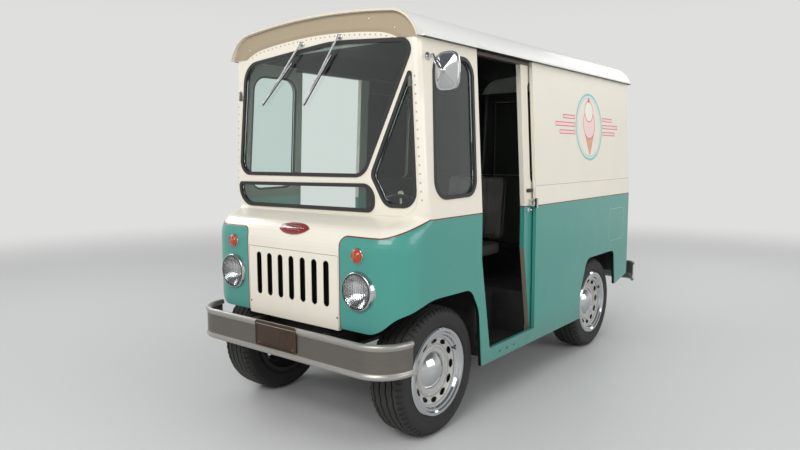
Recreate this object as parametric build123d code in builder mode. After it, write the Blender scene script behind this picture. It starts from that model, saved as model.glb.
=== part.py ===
"""Compact walk-in ice cream truck, built from its separate panels and running gear.

Millimetres. +Z is up, the nose points to -Y and the driver's side (the vehicle's left) is +X.
The origin is on top of the load floor, on the centreline, midway between the axles.
"""
import os
from math import asin, cos, degrees, radians, sin, sqrt, tan

from build123d import *

# Ground and running gear
floor_height = 600.0
ground = -floor_height
wheelbase = 2057.0
front_axle_y = -wheelbase / 2
rear_axle_y = wheelbase / 2
tyre_radius = 344.0
tyre_width = 215.0
tyre_centre_x = 587.5
axle_z = ground + tyre_radius
rim_radius = 233.0
bead_radius = 216.0
rim_well_radius = 186.0
rim_metal = 6.0
hub_radius = 62.0
spindle_radius = 24.0
hub_inner_x = 590.0
spindle_end_x = 640.0
kingpin_x = 535.0
kingpin_radius = 16.0
running_gap = 0.3
moving_gap = 6.0

# Body shell
body_half = 737.0
lean_in = 47.0
head_half = body_half - lean_in
sill_bottom = ground + 290.0
sill_top = ground + 373.0
belt = ground + 1160.0
head = ground + 2047.0
wall = 22.0
body_rear = 1694.0
rear_corner = 60.0
cab_front = -1213.0
pillar_corner = 36.0
jamb_front = -682.0
jamb_rear = -34.0

# Nose
nose_front = -1426.0
nose_corner = 205.0
nose_upright_top = ground + 1014.0
nose_bend = 120.0
shoulder_slope = 17.0
cowl_bend = 30.0
nose_strips = 7
shoulder_corner = 176.0
cowl_corner = 108.0
pillar_foot = 66.0
nose_bottom = ground + 606.0
cowl_shares = (0.36, 0.72)
pillar_rows = ((45.0, 52.0), (110.0, 41.0), (200.0, pillar_corner))
cap_rise = 110.0

# Roof
roof_front = -1240.0
roof_rear = body_rear + 20.0
roof_skin = 18.0

# Sliding doors
door_gap = 8.0
door_thickness = 30.0
door_front = -133.0
door_length = 676.0
door_bottom = ground + 345.0
door_top = head - 20.0

# Floors
floor_thickness = 30.0
cab_deck = ground + 770.0
step_top = ground + 335.0
sheet = 4.0

# Frame rails
rail_outer = 305.0
rail_width = 50.0
rail_top = -floor_thickness
rail_depth = 90.0


def side_half(height):
    """Half width of the body's outer skin at a height: upright below the belt, leaning in above."""
    return body_half - max(0.0, height - belt) * (body_half - head_half) / (head - belt)


def nose_sections():
    """Rows of height, front y and corner radius, from the upright nose up to the pillars."""
    slope = radians(shoulder_slope)
    outer = radians(90.0) - slope
    rows = []
    for step in range(nose_strips + 1):
        angle = outer * step / nose_strips
        rows.append((nose_upright_top + nose_bend * sin(angle),
                     nose_front + nose_bend * (1 - cos(angle)),
                     nose_corner - (nose_corner - shoulder_corner) * (step / nose_strips) ** 2))
    height, front, _ = rows[-1]
    # the slope runs on to the hollow bend that turns it up into the upright cab front
    cut = cowl_bend * tan(outer / 2)
    run = (cab_front - front) / cos(slope) - cut
    foot_z = height + run * sin(slope)
    foot_y = front + run * cos(slope)
    rows.append(((height + foot_z) / 2, (front + foot_y) / 2, (shoulder_corner + cowl_corner) / 2))
    rows.append((foot_z, foot_y, cowl_corner))
    centre_z = foot_z + cowl_bend * cos(slope)
    centre_y = foot_y - cowl_bend * sin(slope)
    for share in cowl_shares:
        angle = slope + outer * share
        rows.append((centre_z - cowl_bend * cos(angle), centre_y + cowl_bend * sin(angle),
                     cowl_corner + (pillar_foot - cowl_corner) * share))
    rows.append((centre_z, cab_front, pillar_foot))
    for rise, corner in pillar_rows:
        rows.append((centre_z + rise, cab_front, corner))
    return rows


def cab_outline(height, front, corner, inset):
    """Plan of the cab at one height: square at the rear jamb, rounded at the two front corners."""
    half = side_half(height)
    with BuildSketch(Plane.XY.offset(height)) as outline:
        with Locations((0, front + inset)):
            Rectangle(2 * (half - inset), jamb_rear - front - inset, align=(Align.CENTER, Align.MIN))
        fillet(outline.vertices().group_by(Axis.Y)[0], corner - inset)
    return outline.sketch


def cab_form(inset):
    """The closed form of nose and cab, inset all round by a wall."""
    rows = [(sill_bottom, nose_front, nose_corner)] + nose_sections()
    rows.append((head + cap_rise, cab_front, pillar_corner))
    with BuildPart() as form:
        loft([cab_outline(*row, inset) for row in rows], ruled=True)
    return form.part


def load_outline(height, inset):
    """Plan of the load body at one height: square at the jamb, rounded at the rear corners."""
    with BuildSketch(Plane.XY.offset(height)) as outline:
        with Locations((0, jamb_rear)):
            Rectangle(2 * (side_half(height) - inset), body_rear - inset - jamb_rear,
                      align=(Align.CENTER, Align.MIN))
        fillet(outline.vertices().group_by(Axis.Y)[-1], rear_corner - inset)
    return outline.sketch


def load_form(inset):
    """The closed form of the load body behind the door jamb, inset by a wall."""
    with BuildPart() as form:
        loft([load_outline(height, inset) for height in (sill_bottom, belt, head)], ruled=True)
    return form.part


def arch_face(foot, shoulder, crown, base):
    """A roof shaped outline, symmetric about the centreline, closed by a level base line."""
    with BuildSketch() as outline:
        with BuildLine():
            crest = TangentArc((0, crown), shoulder, tangent=(1, 0))
            bend = TangentArc(crest @ 1, foot, tangent=crest % 1)
            edge = Line(bend @ 1, (foot[0], base))
            Line(edge @ 1, (0, base))
            mirror(about=Plane.YZ)
        make_face()
    return outline.sketch


def rounded_face(points, radii):
    """A face from corner points with a rounding radius each."""
    with BuildSketch() as outline:
        with BuildLine():
            FilletPolyline(*points, radius=radii, close=True)
        make_face()
    return outline.sketch


def across(points, radii, half=900.0):
    """A cutter right across the body, drawn in side view as y and height points."""
    with BuildPart() as cutter:
        with BuildSketch(Plane.YZ):
            add(rounded_face(points, radii))
        extrude(amount=half, both=True)
    return cutter.part


# The flat cab front and the leaning upper body side, each with its height above the belt as local y
front_plane = Plane(origin=(0, cab_front, belt), x_dir=(1, 0, 0), z_dir=(0, -1, 0))
side_plane = Plane(origin=(body_half, 0, belt), x_dir=(0, 1, 0),
                   z_dir=(head - belt, 0, body_half - head_half))

# Windows: corner points as x (or y) and height above the belt, and the corner radii. The front
# ones are drawn on a panel of a set half width and stretch with it.
panel_half = body_half - 37.0
drawn_half = 700.0
main_window = (((-680, 203), (343, 204), (686, 883), (132, 924), (-602, 862)), (85, 110, 62, 1400, 130))
kerb_window = (((-690, 17), (412, 23), (418, 175), (-686, 163)), (115, 50, 82, 26))
quarter_window = (((384, 218), (484, 54), (688, 58), (652, 768)), (60, 85, 85, 14))
front_windows = [([(x * panel_half / drawn_half, height) for x, height in points], radii)
                 for points, radii in (main_window, kerb_window, quarter_window)]
cab_window = (((-1132, 92), (-735, 98), (-724, 832), (-1100, 830)), (105, 95, 100, 108))
rubber_width = 20.0
rubber_lap = 8.0
rubber_lip = 5.0
glass_thickness = 6.0
glass_depth = 8.0


def window_face(window, inset):
    """The rounded outline of a window opening, moved inwards."""
    points, radii = window
    with BuildSketch() as outline:
        add(rounded_face(points, radii))
        if inset:
            offset(amount=-inset, kind=Kind.INTERSECTION)
    return outline.sketch


def window_cut(plane, window):
    with BuildPart() as cutter:
        with BuildSketch(plane):
            add(window_face(window, rubber_lap))
        extrude(amount=3 * wall, both=True)
    return cutter.part


def window_rubber(plane, window):
    """Rubber moulding: a lip over the panel's face and a web through the opening."""
    with BuildPart() as moulding:
        with BuildSketch(plane):
            add(window_face(window, 0))
            add(window_face(window, rubber_width), mode=Mode.SUBTRACT)
        extrude(amount=rubber_lip)
        with BuildSketch(plane):
            add(window_face(window, rubber_lap))
            add(window_face(window, rubber_width), mode=Mode.SUBTRACT)
        extrude(amount=-wall)
    return moulding.part


def window_glass(plane, window):
    with BuildPart() as pane:
        with BuildSketch(plane.offset(-glass_depth)):
            add(window_face(window, rubber_width + running_gap))
        extrude(amount=-glass_thickness)
    return pane.part


pieces = {}

# Windscreen panel
panel_top_half = head_half - 36.0
panel_bottom = ground + 1172.0
panel_corner = 120.0
panel_foot_z = ground + 1995.0
panel_shoulder = (440.0, ground + 2093.0)
panel_crown = ground + 2122.0
seam = 0.6


def panel_face(grow):
    """Outline of the windscreen panel as x and height above the belt, widened by a seam."""
    foot = (panel_top_half + grow, panel_foot_z - belt)
    with BuildSketch() as outline:
        with BuildLine():
            crest = TangentArc((0, panel_crown - belt + grow),
                               (panel_shoulder[0], panel_shoulder[1] - belt + grow), tangent=(1, 0))
            bend = TangentArc(crest @ 1, foot, tangent=crest % 1)
            FilletPolyline(bend @ 1, (panel_half + grow, panel_bottom - belt - grow),
                           (0, panel_bottom - belt - grow), radius=panel_corner)
            mirror(about=Plane.YZ)
        make_face()
    return outline.sketch


with BuildPart() as windscreen_panel:
    with BuildSketch(front_plane):
        add(panel_face(0))
        for window in front_windows:
            add(window_face(window, rubber_lap), mode=Mode.SUBTRACT)
    extrude(amount=-wall)
pieces["windscreen_panel"] = windscreen_panel.part

# Cab shell: nose, pillars, cab sides and the sill below the door openings
arch_points = ((-1600, sill_bottom - 80), (-1600, nose_bottom), (-1426, nose_bottom),
               (-1372, ground + 690), (-1180, ground + 758), (-790, ground + 750),
               (-706, ground + 620), (-668, sill_bottom - 80))
arch_radii = (0.5, 0.5, 14, 90, 500, 90, 200, 0.5)
door_points = ((jamb_front, head + 200), (jamb_front, ground + 905), (-588, sill_top),
               (jamb_rear, sill_top), (jamb_rear, head + 200))
door_radii = (0.5, 70, 0.5, 0.5, 0.5)
grille_half = 346.0
grille_top = ground + 976.0
grille_bottom = ground + 594.0
headlight_x = 484.0
headlight_z = ground + 815.0
headlight_radius = 107.0
bezel_lap = 12.0
signal_x = 481.0
signal_z = ground + 991.0

with BuildPart() as cab_shell:
    add(cab_form(0))
    add(cab_form(wall), mode=Mode.SUBTRACT)
    with BuildSketch(Plane.XY.offset(head)):
        Rectangle(3000, 6000)
    extrude(amount=300, mode=Mode.SUBTRACT)
    add(across(arch_points, arch_radii), mode=Mode.SUBTRACT)
    add(across(door_points, door_radii), mode=Mode.SUBTRACT)
    with BuildSketch(front_plane):
        add(panel_face(seam))
    extrude(amount=80, both=True, mode=Mode.SUBTRACT)
    with BuildSketch(Plane.XZ.offset(-nose_front)):
        with Locations((0, grille_bottom - 60)):
            Rectangle(2 * (grille_half + seam), grille_top + seam + 60 - grille_bottom,
                      align=(Align.CENTER, Align.MIN))
        with Locations((headlight_x, headlight_z), (-headlight_x, headlight_z)):
            Circle(headlight_radius - bezel_lap)
    extrude(amount=60, both=True, mode=Mode.SUBTRACT)
    add(window_cut(side_plane, cab_window), mode=Mode.SUBTRACT)
    add(window_cut(side_plane, cab_window).mirror(Plane.YZ), mode=Mode.SUBTRACT)
pieces["cab_shell"] = cab_shell.part

with BuildPart() as cab_glass:
    for window in front_windows:
        add(window_glass(front_plane, window))
    add(window_glass(side_plane, cab_window))
    add(window_glass(side_plane, cab_window).mirror(Plane.YZ))
pieces["cab_glass"] = cab_glass.part

# Grille panel with its upright slots
slot_count = 7
slot_pitch = 87.5
slot_width = 41.0
slot_low = ground + 707.0
slot_high = ground + 946.0
with BuildPart() as grille_panel:
    with BuildSketch(Plane.XZ.offset(-nose_front)):
        with Locations((0, grille_bottom)):
            Rectangle(2 * grille_half, grille_top - grille_bottom, align=(Align.CENTER, Align.MIN))
        with Locations((0, (slot_low + slot_high) / 2)):
            with GridLocations(slot_pitch, 0, slot_count, 1):
                SlotOverall(slot_high - slot_low, slot_width, rotation=90, mode=Mode.SUBTRACT)
    extrude(amount=-wall)
pieces["grille_panel"] = grille_panel.part

# Roof with its rain rail, the overhanging visor and its hollow cove above the windscreen panel
roof_crown = ground + 2224.0
roof_shoulder = (head_half - 150.0, ground + 2192.0)
roof_foot = head_half + 16.0
roof_rear_bend = 40.0
cove_drop = 60.0
roof_skirt = head + 8.0
rail_reach = 13.0
rail_height = 10.0
with BuildPart() as roof:
    with BuildSketch(Plane.XZ.offset(-roof_front)):
        add(arch_face((roof_foot, roof_skirt), roof_shoulder, roof_crown, head))
    extrude(amount=roof_front - roof_rear)
    fillet(roof.edges().group_by(Axis.Y)[-1].filter_by(lambda e: e.center().Z > head + 1),
           roof_rear_bend)
    with BuildSketch(Plane.XZ.offset(-cab_front - wall - 2 * roof_skin)):
        add(arch_face((roof_foot - roof_skin, roof_skirt),
                      (roof_shoulder[0] - 8, roof_shoulder[1] - roof_skin),
                      roof_crown - roof_skin, head))
    extrude(amount=cab_front + wall + 2 * roof_skin + 60 - roof_rear, mode=Mode.SUBTRACT)
    lip = [arch_face((roof_foot - 8, roof_skirt), (roof_shoulder[0] - 4, roof_shoulder[1] - 10),
                     roof_crown - 10, head - cove_drop),
           arch_face((panel_top_half, panel_foot_z), panel_shoulder, panel_crown, head - cove_drop)]
    with BuildSketch(Plane.XZ.offset(-roof_front)) as lip_edge:
        add(lip[0])
    with BuildSketch(Plane.XZ.offset(-cab_front)) as cove_foot:
        add(lip[1])
    loft([lip_edge.sketch, cove_foot.sketch], ruled=True, mode=Mode.SUBTRACT)
    with BuildSketch(front_plane):
        add(panel_face(0))
    extrude(amount=-wall, mode=Mode.SUBTRACT)
    for side in (1, -1):
        with Locations((side * (roof_foot + rail_reach / 2 - 2), (roof_front + roof_rear) / 2, head)):
            Box(rail_reach + 8, roof_rear - roof_front - 80, rail_height,
                align=(Align.CENTER, Align.CENTER, Align.MIN))
pieces["roof"] = roof.part

# Window mouldings, trimmed where they meet the nose and the visor
with BuildPart() as window_rubbers:
    for window in front_windows:
        add(window_rubber(front_plane, window))
    add(window_rubber(side_plane, cab_window))
    add(window_rubber(side_plane, cab_window).mirror(Plane.YZ))
    add(cab_shell.part, mode=Mode.SUBTRACT)
    add(roof.part, mode=Mode.SUBTRACT)
pieces["window_rubbers"] = window_rubbers.part

# Load body: two sides that wrap the rear corners, and the rear frame between them
rear_arch_points = ((690, sill_bottom - 80), (690, ground + 480), (800, ground + 717),
                    (1338, ground + 717), (1375, ground + 436), (1750, ground + 512),
                    (1750, sill_bottom - 80))
rear_arch_radii = (0.5, 110, 105, 52, 6, 0.5, 0.5)
rear_post = body_half - 97.0
rear_open_half = 560.0
rear_open_bottom = ground + 640.0
rear_open_top = ground + 1965.0
hinge_out = 9.0
hinge_radius = 8.0
pin_radius = 4.0
hinge_x = rear_open_half + 2.0
hinge_y = body_rear + hinge_out
hinge_heights = (rear_open_bottom + 160, rear_open_top - 220)
hinge_length = 90.0
hinge_leaf = 60.0
hinge_plate = 4.0
load_shell = load_form(0) - load_form(wall) - across(rear_arch_points, rear_arch_radii)

for name, side in (("side_panel_left", 1), ("side_panel_right", -1)):
    with BuildPart() as side_panel:
        add(load_shell)
        with Locations((side * rear_post, 0, sill_bottom - 10)):
            Box(300, 4000, 2000, align=(Align.MIN if side > 0 else Align.MAX, Align.CENTER, Align.MIN),
                mode=Mode.INTERSECT)
    pieces[name] = side_panel.part

with BuildPart() as rear_frame:
    add(load_shell)
    with Locations((0, body_rear, sill_bottom - 10)):
        Box(2 * (rear_post - seam), 200, 2000, align=(Align.CENTER, Align.CENTER, Align.MIN),
            mode=Mode.INTERSECT)
    with Locations((0, body_rear, rear_open_bottom)):
        Box(2 * rear_open_half, 200, rear_open_top - rear_open_bottom,
            align=(Align.CENTER, Align.CENTER, Align.MIN), mode=Mode.SUBTRACT)
    with Locations((rail_outer - rail_width / 2, body_rear, sill_bottom),
                   (rail_width / 2 - rail_outer, body_rear, sill_bottom)):
        Box(rail_width + 2 * seam, 200, rail_top + seam - sill_bottom,
            align=(Align.CENTER, Align.CENTER, Align.MIN), mode=Mode.SUBTRACT)
    for side in (1, -1):
        for height in hinge_heights:
            with Locations((side * hinge_x, hinge_y, height)):
                Cylinder(pin_radius, hinge_length)
            for end in (1, -1):
                with Locations((side * hinge_x, hinge_y, height + end * hinge_length * 3 / 8)):
                    Cylinder(hinge_radius, hinge_length / 4)
                with Locations((side * hinge_x, body_rear, height + end * hinge_length * 3 / 8)):
                    Box(hinge_leaf, hinge_plate, hinge_length / 4,
                        align=(Align.MIN if side > 0 else Align.MAX, Align.MIN, Align.CENTER))
pieces["rear_frame"] = rear_frame.part

# Rear doors, hung at their outer edges
rear_gap = 5.0
meeting_half = 3.5
rear_door_half = rear_open_half - rear_gap
latch_x = 52.0
latch_z = belt + 20.0
latch_boss = (16.0, 26.0)
latch_bar = (18.0, 12.0, 118.0)
for name, side in (("rear_door_left", 1), ("rear_door_right", -1)):
    with BuildPart() as rear_door:
        with BuildSketch(Plane.XZ.offset(-body_rear)):
            with Locations((meeting_half, rear_open_bottom + rear_gap)):
                Rectangle(rear_door_half - meeting_half, rear_open_top - rear_open_bottom - 2 * rear_gap,
                          align=(Align.MIN, Align.MIN))
        extrude(amount=wall)
        for height in hinge_heights:
            with Locations((hinge_x, hinge_y, height)):
                Cylinder(hinge_radius, hinge_length / 2 - running_gap)
            with Locations((hinge_x - pin_radius, body_rear, height)):
                Box(hinge_leaf, hinge_plate, hinge_length / 2 - running_gap,
                    align=(Align.MAX, Align.MIN, Align.CENTER))
            with Locations((hinge_x, hinge_y, height)):
                Cylinder(pin_radius + running_gap, hinge_length, mode=Mode.SUBTRACT)
        if side > 0:
            with Locations((latch_x, body_rear, latch_z)):
                Cylinder(*latch_boss, rotation=(-90, 0, 0), align=(Align.CENTER, Align.CENTER, Align.MIN))
            with Locations((latch_x, body_rear + latch_boss[1], latch_z + latch_boss[0])):
                Box(*latch_bar, align=(Align.CENTER, Align.CENTER, Align.MAX))
    pieces[name] = rear_door.part if side > 0 else rear_door.part.mirror(Plane.YZ)

# Sliding doors: flat panels that follow the leaning side, on a rail above the opening
door_out = wall + door_gap
door_in = door_out + door_thickness
stile = 75.0
door_window = (((stile, 130), (door_length - stile, 130), (door_length - stile, 790), (stile, 790)),
               (60, 60, 60, 60))
foot_cut = 94.0
foot_cut_top = ground + 905.0
door_plane = side_plane.offset(-door_out)
rail_lap = 60.0
handle_y = -62.0
handle_low = ground + 1150.0
handle_high = ground + 1210.0
handle_reach = 50.0
handle_stem = 6.0
handle_width = 22.0
handle_depth = 12.0


def door_section(low, high):
    """Cross section of the sliding door as x and height points, from low to high."""
    return ((body_half - door_in, low), (body_half - door_out, low), (body_half - door_out, belt),
            (side_half(high) - door_out, high), (side_half(high) - door_in, high),
            (body_half - door_in, belt))


for name, side in (("sliding_door_left", 1), ("sliding_door_right", -1)):
    with BuildPart() as sliding_door:
        with BuildSketch(Plane.XZ.offset(-door_front)):
            with BuildLine():
                Polyline(*door_section(door_bottom, door_top), close=True)
            make_face()
        extrude(amount=-door_length)
        with BuildSketch(Plane.YZ):
            with BuildLine():
                Polyline((door_front - 5, door_bottom - 5), (door_front - 5, foot_cut_top),
                         (door_front, foot_cut_top), (door_front + foot_cut, door_bottom - 5), close=True)
            make_face()
        extrude(amount=body_half, mode=Mode.SUBTRACT)
        with BuildSketch(door_plane):
            with Locations((door_front, 0)):
                add(window_face(door_window, rubber_lap))
        extrude(amount=door_thickness + 2, both=True, mode=Mode.SUBTRACT)
        for height in (handle_low + 2 * handle_stem, handle_high - 2 * handle_stem):
            with Locations((body_half - door_out - 4, handle_y, height)):
                Cylinder(handle_stem, handle_reach, rotation=(0, 90, 0),
                         align=(Align.CENTER, Align.CENTER, Align.MIN))
        with Locations((body_half - door_out + handle_reach - 10, handle_y,
                        (handle_low + handle_high) / 2)):
            Box(handle_depth, handle_width, handle_high - handle_low,
                align=(Align.MIN, Align.CENTER, Align.CENTER))
    pieces[name] = sliding_door.part if side > 0 else sliding_door.part.mirror(Plane.YZ)

with BuildPart() as door_glass:
    with BuildSketch(door_plane.offset(-12)):
        with Locations((door_front, 0)):
            add(window_face(door_window, rubber_lap + running_gap))
    extrude(amount=-glass_thickness)
pieces["sliding_glass_left"] = door_glass.part
pieces["sliding_glass_right"] = door_glass.part.mirror(Plane.YZ)

rail_low = door_top + running_gap
with BuildPart() as door_rails:
    with BuildSketch(Plane.XZ.offset(-jamb_front + rail_lap)):
        with BuildLine():
            Polyline((side_half(rail_low) - door_in, rail_low), (side_half(rail_low) - wall, rail_low),
                     (side_half(head) - wall, head), (side_half(head) - door_in, head), close=True)
        make_face()
    extrude(amount=-(door_front + door_length - jamb_front + rail_lap))
    mirror(about=Plane.YZ)
pieces["door_rails"] = door_rails.part

# Load floor with its two wheel boxes
pocket = door_in + door_gap
floor_half = body_half - pocket
inner_wall = body_half - wall
pocket_rear = door_front + door_length + 20
box_front = rear_axle_y - tyre_radius - 30
box_rear = rear_axle_y + tyre_radius + 30
box_inner = tyre_centre_x - tyre_width / 2 - 30
box_top = axle_z + tyre_radius + 40
inner_rear = body_rear - wall
with BuildPart() as load_floor:
    with BuildSketch(Plane.XY.offset(-floor_thickness)):
        with Locations((0, jamb_rear)):
            Rectangle(2 * floor_half, inner_rear - jamb_rear, align=(Align.CENTER, Align.MIN))
        with Locations((0, pocket_rear)):
            Rectangle(2 * inner_wall, inner_rear - 50 - pocket_rear, align=(Align.CENTER, Align.MIN))
    extrude(amount=floor_thickness)
    for grow, mode in ((0, Mode.ADD), (sheet, Mode.SUBTRACT)):
        for side in (1, -1):
            with BuildSketch(Plane.YZ.offset(side * (box_inner + grow))):
                with Locations(((box_front + box_rear) / 2, -floor_thickness)):
                    Rectangle(box_rear - box_front - 2 * grow, box_top + floor_thickness - grow,
                              align=(Align.CENTER, Align.MIN))
            extrude(amount=side * (inner_wall - box_inner - grow), mode=mode)
pieces["load_floor"] = load_floor.part

# Cab floor: the deck over the front wheels, the risers, the middle floor, a step well at each
# door, the bulkhead in front and the dashboard shelf on it
well_inner = 430.0
riser_y = -640.0
deck_front = -1173.0
cover_half = 215.0
cover_rear = -600.0
dash_low = ground + 1060.0
dash_high = ground + 1130.0
dash_rear = -1040.0
with BuildPart() as cab_floor:
    with BuildSketch(Plane.XZ.offset(-riser_y)):
        with BuildLine():
            Polyline((-well_inner, 0), (-well_inner, step_top), (-inner_wall, step_top),
                     (-inner_wall, step_top - sheet), (-well_inner + sheet, step_top - sheet),
                     (-well_inner + sheet, -sheet), (well_inner - sheet, -sheet),
                     (well_inner - sheet, step_top - sheet), (inner_wall, step_top - sheet),
                     (inner_wall, step_top), (well_inner, step_top), (well_inner, 0), close=True)
        make_face()
    extrude(amount=riser_y - jamb_rear)
    for side in (1, -1):
        with Locations((side * (well_inner - sheet), riser_y, step_top - sheet)):
            Box(floor_half - well_inner + sheet, sheet, cab_deck - step_top + sheet,
                align=(Align.MIN if side > 0 else Align.MAX, Align.MAX, Align.MIN))
        with Locations((side * (well_inner - sheet), jamb_rear, step_top - sheet)):
            Box(floor_half - well_inner + sheet, sheet, sheet - step_top,
                align=(Align.MIN if side > 0 else Align.MAX, Align.MAX, Align.MIN))
    with Locations((0, riser_y, -sheet)):
        Box(2 * well_inner, sheet, cab_deck + sheet, align=(Align.CENTER, Align.MAX, Align.MIN))
    with Locations((0, riser_y, cab_deck)):
        Box(2 * floor_half, riser_y - deck_front, sheet, align=(Align.CENTER, Align.MAX, Align.MAX))
    with Locations((0, jamb_front - 20, cab_deck)):
        Box(2 * inner_wall, jamb_front - 20 - deck_front, sheet, align=(Align.CENTER, Align.MAX, Align.MAX))
    with Locations((0, deck_front, cab_deck - sheet)):
        Box(2 * inner_wall - 40, sheet, dash_low - cab_deck + 2 * sheet,
            align=(Align.CENTER, Align.MIN, Align.MIN))
    with Locations((0, deck_front, dash_low)):
        Box(2 * inner_wall - 60, dash_rear - deck_front, dash_high - dash_low,
            align=(Align.CENTER, Align.MIN, Align.MIN))
    with Locations((0, cover_rear - 16, -3 * sheet)):
        Box(2 * cover_half - 32, cover_rear - 16 - deck_front - 30, cab_deck + 6 * sheet,
            align=(Align.CENTER, Align.MAX, Align.MIN), mode=Mode.SUBTRACT)
pieces["cab_floor"] = cab_floor.part

# Engine cover between the seats, open below
cover_top = ground + 950.0
cover_wall = 12.0


def cover_side(inset):
    """Side view of the engine cover: low at the back where it comes down to the middle floor."""
    front = deck_front + sheet + inset
    return ((front, cab_deck), (front, cover_top - inset), (cover_rear - inset, cover_top - inset),
            (cover_rear - inset, 0), (riser_y, 0), (riser_y, cab_deck))


with BuildPart() as engine_cover:
    with BuildSketch(Plane.YZ):
        with BuildLine():
            Polyline(*cover_side(0), close=True)
        make_face()
    extrude(amount=cover_half, both=True)
    fillet(engine_cover.edges().filter_by(Axis.Y).group_by(Axis.Z)[-1], 30)
    with BuildSketch(Plane.YZ):
        with BuildLine():
            Polyline(*cover_side(cover_wall), close=True)
        make_face()
    extrude(amount=cover_half - cover_wall, both=True, mode=Mode.SUBTRACT)
pieces["engine_cover"] = engine_cover.part

lever_x = 132.0
lever_y = cover_rear - 39.0
lever_height = 295.0
knob_radius = 19.0
with BuildPart() as gear_lever:
    with Locations((lever_x, lever_y, cover_top)):
        Cylinder(6, lever_height, align=(Align.CENTER, Align.CENTER, Align.MIN))
        Cylinder(26, 14, align=(Align.CENTER, Align.CENTER, Align.MIN))
    with Locations((lever_x, lever_y, cover_top + lever_height)):
        Sphere(knob_radius)
pieces["gear_lever"] = gear_lever.part

# Driver's seat on its pedestal
seat_x = 330.0
seat_front = -590.0
seat_rear = -170.0
seat_half = 220.0
pedestal_top = 240.0
pedestal = (240.0, 300.0)
with BuildPart() as seat_base:
    with Locations((seat_x - 30, (seat_front + seat_rear) / 2 + 10, 0)):
        Box(*pedestal, pedestal_top, align=(Align.CENTER, Align.CENTER, Align.MIN))
        Box(pedestal[0] - 2 * sheet, pedestal[1] - 2 * sheet, pedestal_top - sheet,
            align=(Align.CENTER, Align.CENTER, Align.MIN), mode=Mode.SUBTRACT)
pieces["seat_base"] = seat_base.part

with BuildPart() as seat_cushions:
    with BuildSketch(Plane.YZ.offset(seat_x - seat_half)):
        add(rounded_face(((seat_front, pedestal_top), (seat_rear + 75, pedestal_top),
                          (seat_rear + 130, pedestal_top + 520), (seat_rear + 62, pedestal_top + 520),
                          (seat_rear + 10, pedestal_top + 95), (seat_front, pedestal_top + 90)),
                         (25, 30, 28, 28, 12, 35)))
    extrude(amount=2 * seat_half)
pieces["seat_cushions"] = seat_cushions.part

# Steering column and wheel
steer_origin = (seat_x, -760.0, ground + 1130.0)
steer_axis = (0, 0.64, 0.768)
steer_plane = Plane(origin=steer_origin, x_dir=(1, 0, 0), z_dir=steer_axis)
steer_radius = 190.0
rim_tube = 11.0
column_radius = 21.0
column_length = 520.0
shaft_end_radius = 9.0
hub_size = (30.0, 36.0)
spoke_size = (22.0, 8.0)
spoke_turns = (90, 210, 330)
with BuildPart() as steering_column:
    with BuildSketch(steer_plane.offset(-hub_size[1] / 2 - moving_gap)):
        Circle(column_radius)
    extrude(amount=-column_length)
    with BuildSketch(steer_plane.offset(6)):
        Circle(shaft_end_radius)
    extrude(amount=-60)
    with Locations((seat_x, -1060, cab_deck)):
        Box(300, 300, 400, align=(Align.CENTER, Align.CENTER, Align.MAX), mode=Mode.SUBTRACT)
pieces["steering_column"] = steering_column.part

with BuildPart() as steering_wheel:
    with Locations(steer_plane):
        Torus(steer_radius, rim_tube)
        Cylinder(*hub_size)
        for turn in spoke_turns:
            with Locations(Rotation(0, 0, turn)):
                with Locations((steer_radius / 2, 0, 0)):
                    Box(steer_radius - 10, *spoke_size)
        with Locations((0, 0, -10)):
            Cylinder(shaft_end_radius + running_gap, 34, mode=Mode.SUBTRACT)
pieces["steering_wheel"] = steering_wheel.part

# Frame: rails, cross members and spring hangers under the floor
bumper_half = body_half + 17.0
bumper_front = nose_front - 111.0
bumper_rear = body_rear + 186.0
front_bumper_low = ground + 429.0
front_bumper_high = ground + 582.0
rear_bumper_low = ground + 400.0
rear_bumper_high = ground + 558.0
front_bumper_bend = 178.0
rear_bumper_bend = 85.0
rear_bumper_end = body_rear + 81.0
bracket_drop = 26.0
lip_radius = 12.0
bumper_web = 5.0
rail_mid = rail_outer - rail_width / 2
rail_bottom = rail_top - rail_depth
frame_front = bumper_front + 2 * lip_radius + 1
frame_rear = bumper_rear - 2 * lip_radius - 1
bracket_length = lip_radius + 1 - bumper_web / 2
spring_half = 450.0
spring_width = 44.0
spring_x = rail_outer - spring_width / 2 - 3
spring_thickness = 28.0
spring_eye_z = ground + 430.0
spring_seat_z = axle_z + 36.0
cross_members = (-1330.0, -480.0, 150.0, 760.0, 1560.0)
member_inset = 10.0
with BuildPart() as chassis_frame:
    for side in (1, -1):
        with Locations((side * rail_mid, (frame_front + frame_rear) / 2, rail_bottom)):
            Box(rail_width, frame_rear - frame_front, rail_depth,
                align=(Align.CENTER, Align.CENTER, Align.MIN))
        for tip, high, align_y in ((frame_front, front_bumper_high - bracket_drop, Align.MAX),
                                   (frame_rear, rear_bumper_high - bracket_drop, Align.MIN)):
            with Locations((side * rail_mid, tip, rail_bottom)):
                Box(rail_width, bracket_length, high - rail_bottom, align=(Align.CENTER, align_y, Align.MIN))
        for axle in (front_axle_y, rear_axle_y):
            for end in (1, -1):
                with Locations((side * spring_x, axle + end * spring_half, rail_bottom)):
                    Box(spring_width, 60, rail_bottom - spring_eye_z - spring_thickness / 2,
                        align=(Align.CENTER, Align.CENTER, Align.MAX))
    for place in cross_members:
        with Locations((0, place, rail_top - member_inset)):
            Box(2 * rail_mid, 60, rail_depth - 2 * member_inset,
                align=(Align.CENTER, Align.CENTER, Align.MAX))
pieces["chassis_frame"] = chassis_frame.part

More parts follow.
